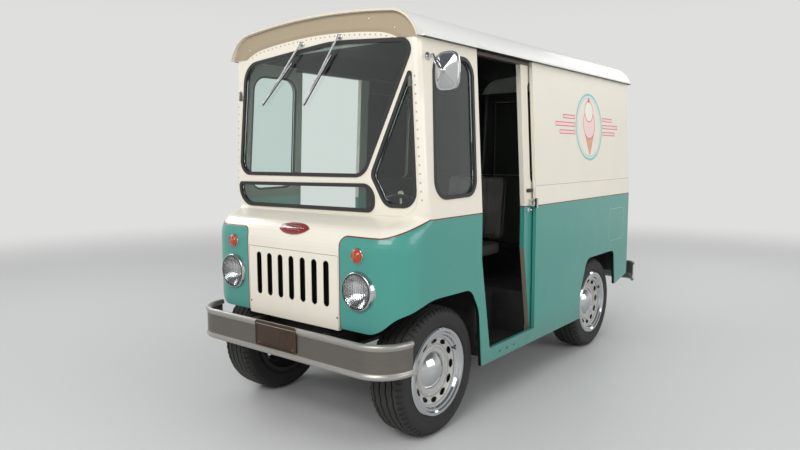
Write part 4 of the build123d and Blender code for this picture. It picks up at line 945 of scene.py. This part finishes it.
# %% Headlamps
nose_y = -1.426
lamp_x, lamp_z = 0.484, 0.215
glass_reach, glass_radius, glass_bulge, glass_wall = 0.0319, 0.0886, 0.314, 0.0042
bowl_radius, bowl_back, bowl_depth = 0.0875, -0.056, 0.062
dome = np.linspace(0, glass_radius, 12)
front_of = glass_reach - dome ** 2 / (2 * glass_bulge)
lens_profile = list(zip(front_of, dome)) + [(0.0160, 0.0895), (0.0130, 0.0886)] \
    + list(zip(front_of[::-1] - glass_wall, dome[::-1]))
bowl = [(bowl_back + bowl_depth * (r / bowl_radius) ** 2, r) for r in np.linspace(0.0, bowl_radius, 14)]
bowl_profile = bowl + [(0.0080, 0.0905), (0.0070, 0.0930), (-0.050, 0.0925), (-0.078, 0.060), (-0.084, 0.0)]
rim_profile = [(-0.0135, 0.1035), (-0.0138, 0.1062), (-0.0120, 0.1070), (-0.0090, 0.1066), (-0.0065, 0.1030),
               (0.0020, 0.1012), (0.0110, 0.0992), (0.0165, 0.0968), (0.0193, 0.0935), (0.0195, 0.0915),
               (0.0180, 0.0897), (0.0150, 0.0899), (0.0040, 0.0908), (-0.0060, 0.0935), (-0.0135, 0.1035)]
gasket_profile = [(0.0150, 0.0880), (0.0192, 0.0852), (0.0208, 0.0860), (0.0212, 0.0885), (0.0204, 0.0912),
                  (0.0185, 0.0916), (0.0150, 0.0880)]
bulb_profile = [(-0.057, 0), (-0.057, 0.008), (-0.040, 0.008), (-0.034, 0.017), (-0.022, 0.0165), (-0.019, 0.0)]
lamp_place, ahead, behind = (lamp_x, nose_y, lamp_z), (0, -1, 0), (0, 1, 0)
put("headlamp_glass", both_sides(lens_profile, lamp_place, ahead, 72), lamp_glass, stands_for=("headlight_lenses",))
put("headlamp_bowls", both_sides(bowl_profile, lamp_place, ahead, 72), chrome, stands_for=("headlights",))
put("headlamp_rims", both_sides(rim_profile, lamp_place, ahead, 96), chrome, stands_for=("headlights",))
put("headlamp_bulb_shields", both_sides(bulb_profile, lamp_place, ahead, 32), chrome)
put("headlamp_gaskets", both_sides(gasket_profile, lamp_place, ahead, 72), rubber)
print("headlamps at", lamp_x, lamp_z)

# %% [markdown]
# The turn lamps over the headlamps and the two lamps on the tail are small stepped plastic lenses,
# each held by a thin chromed ring.

# %% Small lamps
signal_profile = [(0.0015, 0), (0.0015, 0.0362), (0.0090, 0.0360), (0.0140, 0.0338), (0.0190, 0.0276),
                  (0.0178, 0.0257), (0.0215, 0.0210), (0.0204, 0.0192), (0.0243, 0.0130), (0.0262, 0.0054),
                  (0.0266, 0)]
small_ring = [(0.0, 0.0352), (-0.001, 0.0397), (0.004, 0.0399), (0.0075, 0.0386), (0.0085, 0.0367),
              (0.0070, 0.0352), (0.0, 0.0352)]
tail_profile = [(0.001, 0), (0.001, 0.0320), (0.0120, 0.0318), (0.0180, 0.0285), (0.0215, 0.0190), (0.0235, 0.0)]
tail_ring = [(0.0, 0.0310), (0.0, 0.0350), (0.0060, 0.0350), (0.0100, 0.0335), (0.0095, 0.0312), (0.0, 0.0310)]
turn_place, tail_place = (0.481, nose_y + 0.001, 0.391), (0.601, 1.694, 0.360)
small_lamps = (
    ("turn_lamp_lenses", signal_profile, turn_place, ahead, amber, "turn_signals"),
    ("turn_lamp_rings", small_ring, turn_place, ahead, chrome, "turn_signals"),
    ("tail_lamp_lenses", tail_profile, tail_place, behind, red_lens, "tail_lamps"),
    ("tail_lamp_rings", tail_ring, tail_place, behind, chrome, "tail_lamps"),
)
for name, profile, place, way, material, node in small_lamps:
    put(name, both_sides(profile, place, way, 48), material, stands_for=(node,))
print("small lamps", [row[0] for row in small_lamps])

# %% [markdown]
# The front bumper is one rolled steel section: a flat web whose upper and lower edges are rolled
# into tubes. The section is carried round the bumper's plan line, square to it all the way. Such a
# sweep leaves its two ends open, and each open loop is then filled with one flat face.

# %% Front bumper
bumper_line_y, bumper_reach, bumper_end, bumper_bend = -1.5195, 0.7410, -1.3299, 0.178
bumper_middle, roll_apart, roll_radius = -0.0955, 0.0725, 0.0155
web_half, web_out = 0.0025, 0.0062


def bumper_section():
    """Closed loop of (outward, up): the upper roll from the web's face round to its back, then the lower roll."""
    gap, lean = np.arcsin(web_half / roll_radius) + 0.10, np.arcsin(web_out / roll_radius)
    a = np.linspace(-pi / 2 + lean + gap, 3 * pi / 2 + lean - gap, 26)
    upper = np.stack([roll_radius * np.cos(a), roll_apart + roll_radius * np.sin(a)], -1)
    web_top = roll_apart - roll_radius * 1.25
    fillet = np.array([[web_out + web_half, web_top], [web_out - web_half, web_top]])
    top = np.vstack([fillet[:1], upper, fillet[1:]])
    return np.vstack([top, top[::-1] * (1, -1)])


a = np.linspace(0, pi / 2, 18)
corner = np.stack([bumper_reach - bumper_bend + bumper_bend * np.cos(a),
                   bumper_line_y + bumper_bend - bumper_bend * np.sin(a)], -1)
away = np.stack([np.cos(a), -np.sin(a)], -1)
side_run = np.linspace(bumper_end, corner[0, 1], 6)[:-1]
line = np.vstack([np.stack([np.full(5, bumper_reach), side_run], -1), corner,
                  [(x, bumper_line_y) for x in np.linspace(0.5, 0.0, 6)]])
out = np.vstack([np.tile((1.0, 0.0), (5, 1)), away, np.tile((0.0, -1.0), (6, 1))])
flip = np.array([-1, 1])
line, out = np.vstack([line, line[-2::-1] * flip]), np.vstack([out, out[-2::-1] * flip])
section = bumper_section()
plan = line[:, None] + out[:, None] * section[None, :, :1]
height = np.broadcast_to(bumper_middle + section[None, :, 1:], plan.shape[:2] + (1,))
points = np.concatenate([plan, height], -1)


def capped(piece, crease=38.0):
    """Fills each open edge loop of a piece with one face and returns how many faces that made."""
    before = len(piece.data.polygons)
    work = bmesh.new()
    work.from_mesh(piece.data)
    bmesh.ops.holes_fill(work, edges=[edge for edge in work.edges if edge.is_boundary], sides=0)
    bmesh.ops.recalc_face_normals(work, faces=work.faces)
    work.to_mesh(piece.data)
    work.free()
    piece.data.set_sharp_from_angle(angle=radians(crease))
    return len(piece.data.polygons) - before


bumper = put("front_bumper_rolled", [(points, net(len(line), len(section)))], silver, stands_for=("front_bumper",))
print("end caps", capped(bumper), "bumper faces", len(bumper.data.polygons))

# %% [markdown]
# A blank plate hangs on the bumper: dark bronze, with a raised rounded frame and four round bolt
# heads. The frame is one outline repeated at several insets and heights and joined row by row.

# %% Blank plate
bronze = finish("plate_bronze", lambda place: {
    "Base Color": place.noise(40.0, 4.0).blend(tone(0.20, 0.15, 0.11), tone(0.30, 0.22, 0.16)), "Metallic": 0.3,
    "Roughness": 0.42 + place.noise(80.0) * 0.2, "Bump": (place.noise(140.0, 3.0) * 0.0004, 1.0)})
plate_edge = finish("plate_edge", lambda place: {
    "Base Color": place.noise(60.0, 4.0).blend(tone(0.42, 0.34, 0.25), tone(0.27, 0.20, 0.14)), "Metallic": 0.7,
    "Roughness": 0.35 + place.noise(60.0) * 0.2, "Bump": (place.noise(140.0, 3.0) * 0.0003, 1.0)})
plate_x, plate_z, plate_front = -0.0165, -0.0745, -1.537
plate_at = (plate_x, plate_front, plate_z)
plate_width, plate_height, frame_lap = 0.323, 0.141, 0.010
field = rounded(plate_width - frame_lap, plate_height - frame_lap, 0.014)
put("plate_field", [pressed(field, [(0, -0.0060), (0, -0.0026), (0.001, -0.0022)], plate_at)], bronze)
frame_rows = []
for inset, h in ((0.0, -0.0055), (0.0, -0.0015), (0.0012, 0.0), (0.0055, 0.0), (0.0068, -0.0024), (0.0068, -0.0055),
                 (0.0, -0.0055)):
    outline = rounded(plate_width - 2 * inset, plate_height - 2 * inset, max(0.016 - inset, 0.006))
    level = np.full(len(outline), plate_front) - h
    frame_rows.append(np.stack([plate_x + outline[:, 0], level, plate_z + outline[:, 1]], -1))
put("plate_frame", [lofted(frame_rows)], plate_edge)
bolts = [((plate_x + dx, plate_front + 0.0024, plate_z + dz), ahead)
         for dx in (-0.135, 0.135) for dz in (-0.052, 0.052)]
put("plate_bolts", domes(bolts, 0.0062, 0.0020, 14), dull_steel)
print("plate", plate_width, "by", plate_height)

# %% [markdown]
# The nose carries an enamelled badge: a pointed oval of red enamel in a chromed edge with three
# bright bars. It is made flat, and then every point is carried round the bend of the nose.

# %% Nose badge
bend_y, bend_z, bend_radius, badge_turn = -1.306, 0.414, 0.120, 0.7185


def on_nose(points):
    """Flat (u, v, h) laid over the nose bend: u stays across, v goes round the bend, h stands out."""
    u, v, h = np.asarray(points).reshape(-1, 3).T
    a = badge_turn + v / bend_radius
    return np.stack([u, bend_y - (bend_radius + h) * np.cos(a), bend_z + (bend_radius + h) * np.sin(a)], -1)


def pointed_oval(half_width, half_height, count=96):
    """Two shallow arcs that meet in a point at each side."""
    a = np.linspace(0, 2 * pi, count, endpoint=False)
    return np.stack([half_width * np.cos(a), half_height * np.sign(np.sin(a)) * np.abs(np.sin(a)) ** 1.35], -1)


enamel = finish("badge_enamel", lambda place: {
    "Base Color": place.noise(60.0, 3.0).blend(tone(0.62, 0.13, 0.12), tone(0.50, 0.09, 0.09)), "Roughness": 0.16,
    "Coat Weight": 1.0, "Coat Roughness": 0.03, "Bump": (place.noise(90.0) * 0.0003, 1.0)})
flat = ((0, 0, 0), (1, 0, 0), (0, 1, 0))
edge_steps = [(0, -0.0010), (0, 0.0030), (0.0012, 0.0045), (0.0040, 0.0045), (0.0050, 0.0030)]
field_steps = [(0, 0.0), (0, 0.0036), (0.002, 0.0040), (0.012, 0.0050)]
bar_steps = [(0, 0.0030), (0, 0.0060), (0.0010, 0.0068)]


def on_badge(outline, steps):
    """An outline pressed flat and then bent over the nose."""
    points, faces = pressed(outline, steps, *flat)
    return on_nose(points), faces


put("badge_edge", [on_badge(pointed_oval(0.118, 0.040), edge_steps)], chrome)
put("badge_field", [on_badge(pointed_oval(0.1125, 0.0355), field_steps)], enamel)
bars = [on_badge(rounded(2 * half, 0.0050, 0.0024, 5) + np.array([0.0, v]), bar_steps)
        for v, half in ((0.013, 0.050), (0.0, 0.078), (-0.013, 0.050))]
put("badge_bars", bars, chrome)
print("badge at", np.round(on_nose([(0, 0, 0)])[0], 3))

# %% [markdown]
# The driver's mirror has a chromed case with four creases that meet in front of its middle, a flat
# glass that looks back, and a bent rod that leads from the pillar to a ball joint on the case.

# %% Driver's mirror
mirror_x, mirror_z = 0.847, 1.271


def case_outline(share):
    """A rectangle with round corners and bowed sides: (|u|/a)^3.4 + (|v|/b)^3.4 = 1, squarer towards the middle."""
    power = 3.4 + 5.0 * (1.0 - share)
    a = np.linspace(0, 2 * pi, 72, endpoint=False)
    c, s = np.cos(a), np.sin(a)
    reach = (np.abs(c / 0.065) ** power + np.abs(s / 0.091) ** power) ** (-1 / power)
    return np.stack([reach * c, reach * s], -1) * max(share, 1e-6)


case_rows = []
for share, y in ((0.0, -1.1805), (0.90, -1.1805), (0.935, -1.1780), (0.975, -1.1785), (1.0, -1.1830),
                 (1.0, -1.1930), (0.985, -1.1975), (0.955, -1.1995), (0.90, -1.2000), (0.80, -1.2025),
                 (0.60, -1.2095), (0.40, -1.2170), (0.22, -1.2243), (0.12, -1.2280), (0.0, -1.2285)):
    oval = case_outline(share)
    case_rows.append(np.stack([mirror_x + oval[:, 0], np.full(len(oval), y), mirror_z + oval[:, 1]], -1))
put("mirror_case", [lofted(case_rows)], chrome, crease=22.0, stands_for=("mirror",))
looking_glass = finish("mirror_glass", lambda place: {
    "Base Color": (0.88, 0.90, 0.91, 1.0), "Metallic": 1.0,
    "Roughness": 0.02 + place.noise(40.0).step(0.6, 0.8) * 0.05})
glass_steps = [(0, -0.0015), (0, 0.0), (0.002, 0.0008)]
glass_form = pressed(case_outline(0.88), glass_steps, (mirror_x, -1.1800, mirror_z), (-1, 0, 0))
put("mirror_glass", [glass_form], looking_glass)
head_z, head_inset = 1.447, 0.047
flange_y, flange_z = -1.142, 1.358
flange_x = body_half - head_inset * (flange_z - belt) / (head_z - belt)
rod_bends = [(flange_x + 0.004, flange_y, flange_z), (0.722, -1.155, flange_z), (0.752, -1.174, flange_z - 0.002),
             (0.800, -1.222, mirror_z + 0.046), (0.832, -1.236, mirror_z + 0.012), (mirror_x, -1.2365, mirror_z)]
lean = (1, 0, 0.053)
flange_profile = [(-0.001, 0), (-0.001, 0.020), (0.004, 0.020), (0.0075, 0.016), (0.0085, 0.0)]
boss_profile = [(0, 0), (0, 0.011), (0.014, 0.010), (0.020, 0.0078), (0.020, 0)]
ball_profile = [(0.012 * cos(v), 0.012 * sin(v)) for v in np.linspace(0, pi, 13)]
cup_profile = [(0.0, 0), (0, 0.0155), (0.004, 0.0150), (0.0055, 0.012), (0.0055, 0)]
put("mirror_rod", [tube(smooth(rod_bends, 40), 0.0072, 16)], chrome, stands_for=("mirror",))
fittings_forms = [turned(flange_profile, (flange_x, flange_y, flange_z), lean, 40),
                  turned(boss_profile, (flange_x + 0.006, flange_y, flange_z), lean, 24),
                  turned(ball_profile, (mirror_x, -1.2358, mirror_z), ahead, 28),
                  turned(cup_profile, (mirror_x, -1.2275, mirror_z), ahead, 28)]
put("mirror_fittings", fittings_forms, chrome, stands_for=("mirror",))
print("mirror at", mirror_x, mirror_z)

# %% [markdown]
# Two wipers hang from above the windscreen. Each has a round knurled pivot, a slim arm that tapers
# towards its end, and a blade: a bright channel with a rubber squeegee that lies against the glass.

# %% Wipers
wiper_table = (((-0.099, 1.488), (-0.322, 1.282), (-0.184, 1.393), (-0.445, 1.175)),
               ((0.187, 1.496), (0.004, 1.281), (0.122, 1.408), (-0.096, 1.158)))
pivot_profile = [(0, 0), (0, 0.0130), (0.006, 0.0130), (0.008, 0.0100), (0.017, 0.0098), (0.019, 0.0118),
                 (0.0245, 0.0112), (0.0260, 0.0080), (0.0260, 0)]
pin_profile = [(0, 0), (0, 0.0055), (0.006, 0.0050), (0.007, 0)]
blade_sizes = np.concatenate([np.linspace(0.0040, 0.0060, 12), np.linspace(0.0060, 0.0034, 12)])


def at(point, y):
    """A wiper point (x, z) at the depth y."""
    return np.array((point[0], y, point[1]))


def part_way(start, end, share, y):
    """The point at a share of the way from start to end, at the depth y."""
    return at(start, y) * (1 - share) + at(end, y) * share


bright, squeegees = [], []
for pivot, tip, top, foot in wiper_table:
    arm = smooth([at(pivot, -1.2340), part_way(pivot, tip, 0.2, -1.2345), part_way(pivot, tip, 0.65, -1.2300),
                  at(tip, -1.2270)], 26)
    spring = smooth([part_way(pivot, tip, 0.07, -1.2300), part_way(pivot, tip, 0.38, -1.2292)], 16)
    blade = smooth([at(top, -1.2235), part_way(top, foot, 0.5, -1.2250), at(foot, -1.2235)], 24)
    yoke = smooth([part_way(top, foot, 0.28, -1.2270), at(tip, -1.2305), part_way(top, foot, 0.72, -1.2270)], 18)
    bright += [turned(pivot_profile, at(pivot, -1.2125), ahead, 24),
               tube(arm, np.linspace(0.0066, 0.0036, 26), 12, 0.42, ahead),
               tube(spring, 0.0036 + 0.0008 * np.sin(np.arange(16) * 2.4), 10),
               tube(blade, blade_sizes, 12, 0.55, ahead),
               tube(yoke, 0.0040, 12, 0.5, ahead),
               turned(pin_profile, at(tip, -1.2270), ahead, 14)]
    lip = smooth([at(top, -1.2160), at(foot, -1.2160)], 12)
    squeegees.append(tube(lip, 0.0058, 10, 0.40, (1, 0, 0)))
put("wiper_arms", bright, chrome, stands_for=("wipers",))
put("wiper_rubbers", squeegees, rubber, stands_for=("wipers",))
print("wipers", len(wiper_table))

# %% [markdown]
# Domed rivets fasten the skin beside the windscreen panel and along its arched top, and a few screws
# hold the cove and the grille. Each head is dropped on the skin by a straight line that meets the
# panel's own surface, so it sits right on the solid, whatever the solid's exact curve is.

# %% Rivets and screws
front, back = -2.0, (0, 1, 0)
rivet_top, rivet_drop, rivet_rows = 1.260, 0.600, 15
heads = [touch("cab_shell", (side * (0.676 + 0.028 * (1.173 - z) / 0.423), front, z), back)
         for side in (1, -1) for z in rivet_top - np.linspace(0, 1, rivet_rows) * rivet_drop]
for x in np.arange(-0.5325, 0.535, 0.0355):
    crest, _ = touch("windscreen_panel", (x, -1.203, 2.0), (0, 0, -1))
    if min(abs(x - pivot[0][0]) for pivot in wiper_table) > 0.016:
        heads.append(touch("windscreen_panel", (x, front, crest[2] - 0.013), back))
# The heads are a darker cream than the skin, as painted shade, so that they show as dots.
rivet_shade_paint = finish("rivet_shade_paint", lambda place: {
    "Base Color": place.noise(90.0, 3.0).blend(tone(0.80, 0.74, 0.64), tone(0.60, 0.54, 0.45)), "Roughness": 0.42,
    "Coat Weight": 0.2, "Bump": (place.noise(200.0, 3.0) * 0.0002, 1.0)})
put("skin_rivets", domes(heads, 0.0050, 0.0026, 10), rivet_shade_paint)
screws = [touch("roof", (x, front, z), back)
          for x, z in ((0.386, 1.562), (-0.336, 1.5435), (0.553, 1.500), (-0.553, 1.500))]
put("cove_screws", domes(screws, 0.0062, 0.0030, 14), chrome)
clips = [touch("grille_panel", (side * 0.338, front, 0.060), back) for side in (1, -1)]
put("grille_screws", domes(clips, 0.0060, 0.0024, 14), dull_steel)
print("rivets", len(heads), "screws", len(screws) + len(clips))

# %% [markdown]
# A small grey cap covers the point of each quarter window's moulding, where the rubber's two ends
# meet. It is a pointed outline, pressed up in three steps.

# %% Window caps
cap_outline = np.array([(-0.0105, -0.034), (-0.0115, -0.010), (-0.0070, 0.014), (0.0, 0.022), (0.0070, 0.014),
                        (0.0115, -0.010), (0.0105, -0.034)])
cap_steps = [(0, 0), (0, 0.0070), (0.0015, 0.0095), (0.0040, 0.0105)]
caps = [pressed(cap_outline, cap_steps, (side * 0.6470, -1.2130, 1.2440)) for side in (1, -1)]
grey_rubber = finish("grey_rubber", lambda place: {
    "Base Color": place.noise(60.0).blend(tone(0.40, 0.40, 0.38), tone(0.30, 0.30, 0.29)), "Roughness": 0.6,
    "Bump": (place.noise(120.0, 3.0) * 0.0004, 1.0)})
put("quarter_window_caps", caps, grey_rubber)
print("window caps", len(caps))

# %% [markdown]
# Each sliding door carries a black stop near the height of its handle and a bright keep below it. Both
# are dropped on the door's own skin, ride with the door and stay outside the side panel's edge.

# %% Door stops and keeps
stop_steps = [(0, -0.002), (0, 0.0105), (0.0015, 0.0120), (0.004, 0.0125)]
keep_steps = [(0, -0.002), (0, 0.0050), (0.0020, 0.0070), (0.006, 0.0075)]
fitting_table = (  # name, y, z, outline, steps, finish
    ("door_stop", -0.069, 0.656, rounded(0.066, 0.022, 0.005, 4), stop_steps, black_plastic),
    ("door_keep", -0.074, 0.535, rounded(0.058, 0.026, 0.006, 4), keep_steps, chrome),
)
keep_pin = [(0, 0), (0, 0.0065), (0.010, 0.0060), (0.012, 0)]
for hand, side in (("left", 1), ("right", -1)):
    for name, y, z, outline, steps, made in fitting_table:
        skin, _ = touch(f"sliding_door_{hand}", (side * 2.0, y, z), (-side, 0, 0))
        forms = [pressed(outline, steps, skin, (0, side, 0))]
        if name == "door_keep":
            forms.append(turned(keep_pin, skin + np.array((side * 0.006, 0.008, 0)), (side, 0, 0), 16))
        put(f"{name}_{hand}", forms, made, f"sliding_{hand}")
        print(name, hand, "on the skin at", np.round(skin, 3))

# %% [markdown]
# Behind the grille's outer slots a black side plate stands on each side of the radiator, so that the
# slots show dark metal there and not the empty space of the engine bay.

# %% Radiator side plates
baffle_steps = [(0, 0), (0, 0.0015), (0.012, 0.0015), (0.014, 0.0045)]
baffle_outline = rounded(0.104, 0.400, 0.006, 4)
baffles = [pressed(baffle_outline, baffle_steps, (side * 0.305, -1.3515, 0.168)) for side in (1, -1)]
put("radiator_side_plates", baffles, chassis_black)
print("side plates", len(baffles))

# %% [markdown]
# Rubber seals close the joints of the rear doors from inside: one along the top, one along the
# bottom, and three upright ones at the hinges and at the middle.

# %% Rear door seals
seal_y = 1.6640
seal_paths = [[(x, seal_y, z) for x in (-0.585, 0.585)] for z in (0.048, 1.357)] \
    + [[(x, seal_y, z) for z in (0.045, 1.360)] for x in (-0.571, 0.0, 0.571)]
put("rear_door_seals", [tube(smooth(path, 6), 0.0068, 10, 1.0, behind) for path in seal_paths], rubber)
print("seals", len(seal_paths))

# %% [markdown]
# The seat has two padded vinyl cushions: a squab to sit on and a back. Each starts as a slightly
# small block with round edges, is blown up a little by the cloth solver so that its faces crown
# while its corners hold, and then gets a sewn piping along its edges and three pressed channels.

# %% Seat cushions
cushion_table = (  # name, centre, size, lean
    ("seat_squab", (0.330, -0.350, 0.2885), (0.416, 0.446, 0.074), 0.010),
    ("seat_back", (0.330, -0.102, 0.540), (0.416, 0.062, 0.392), -0.118),
)
most_swell = 0.008
channel_apart, channel_deep, channel_wide = 0.104, 0.0045, 0.007


def tilt(lean):
    """Turning matrix for a lean about X."""
    return np.array([[1, 0, 0], [0, cos(lean), -sin(lean)], [0, sin(lean), cos(lean)]])


def slab(centre, size, lean, corner=0.022, steps=9):
    """A block with round edges and corners, tilted back by lean about X: a cube's points pushed out to size."""
    grid_line = np.linspace(-1, 1, steps * 2 + 1)
    forms = []
    for axis in range(3):
        for sign in (-1.0, 1.0):
            a, b = np.meshgrid(grid_line, grid_line, indexing="ij")
            cube = np.zeros(a.shape + (3,))
            cube[..., axis], cube[..., (axis + 1) % 3], cube[..., (axis + 2) % 3] = sign, a, b
            half = np.array(size) / 2
            full = cube * half
            core = np.clip(full, -(half - corner), half - corner)
            gap = full - core
            reach = np.linalg.norm(gap, axis=-1, keepdims=True)
            full = core + gap / np.maximum(reach, 1e-9) * np.minimum(reach, corner)
            faces = net(len(grid_line), len(grid_line), False, False)
            forms.append(((full @ tilt(lean).T + np.array(centre)).reshape(-1, 3), faces))
    return forms


def blown(piece, swell):
    """Swells a closed mesh with the cloth solver and scales the growth, so that no point moves past swell."""
    remesh = piece.modifiers.new("remesh", "REMESH")
    remesh.mode, remesh.voxel_size = "VOXEL", 0.006
    bpy.context.view_layer.update()
    fine = bpy.data.meshes.new_from_object(piece.evaluated_get(bpy.context.evaluated_depsgraph_get()))
    piece.modifiers.clear()
    fine.materials.clear()
    fine.materials.append(piece.data.materials[0])
    piece.data = fine
    start = np.empty(len(fine.vertices) * 3)
    fine.vertices.foreach_get("co", start)
    cloth = piece.modifiers.new("cloth", "CLOTH")
    cloth.settings.use_pressure, cloth.settings.uniform_pressure_force = True, 4.0
    cloth.settings.effector_weights.gravity = 0.0
    for moment in range(1, 21):
        bpy.context.scene.frame_set(moment)
    grown = bpy.data.meshes.new_from_object(piece.evaluated_get(bpy.context.evaluated_depsgraph_get()))
    end = np.empty(len(grown.vertices) * 3)
    grown.vertices.foreach_get("co", end)
    piece.modifiers.clear()
    bpy.context.scene.frame_set(1)
    move = (end - start).reshape(-1, 3)
    length = np.linalg.norm(move, axis=1, keepdims=True)
    move *= swell / max(float(length.max()), swell)
    fine.vertices.foreach_set("co", (start.reshape(-1, 3) + move).ravel())
    fine.polygons.foreach_set("use_smooth", [True] * len(fine.polygons))
    fine.update()
    return float(length.max())


def channelled(piece, middle, thick_way):
    """Presses three channels into the broad faces: depth = deep * exp(-(distance / wide)^2) along each normal."""
    count = len(piece.data.vertices)
    points, normals = np.empty(count * 3), np.empty(count * 3)
    piece.data.vertices.foreach_get("co", points)
    piece.data.vertices.foreach_get("normal", normals)
    points, normals = points.reshape(-1, 3), normals.reshape(-1, 3)
    aside = np.abs(points[:, :1] - middle - np.array([-channel_apart, 0.0, channel_apart])).min(1)
    depth = channel_deep * np.exp(-(aside / channel_wide) ** 2) * np.abs(normals @ thick_way) ** 3
    piece.data.vertices.foreach_set("co", (points - normals * depth[:, None]).ravel())
    piece.data.update()


for name, centre, size, lean in cushion_table:
    pad = put(name, slab(centre, size, lean), vinyl, stands_for=("seat_cushions",))
    print(name, "solver moved points up to", round(blown(pad, most_swell) * 1000, 1), "mm")
    turn = tilt(lean)
    thin, other = (2, 1) if size[2] < size[1] else (1, 2)
    channelled(pad, centre[0], turn[:, thin])
    outline = rounded(size[0] - 0.008, size[other] - 0.008, 0.030)
    loop = np.vstack([outline, outline[:1]])
    cords = []
    for sign in (1, -1):
        flat_points = np.zeros((len(loop), 3))
        flat_points[:, 0], flat_points[:, other] = loop.T
        flat_points[:, thin] = sign * (size[thin] / 2 - 0.010)
        cords.append(tube(flat_points @ turn.T + np.array(centre), 0.0040, 8, 1.0, turn[:, thin]))
    put(f"{name}_piping", cords, rubber)
print("cushions", len(cushion_table))
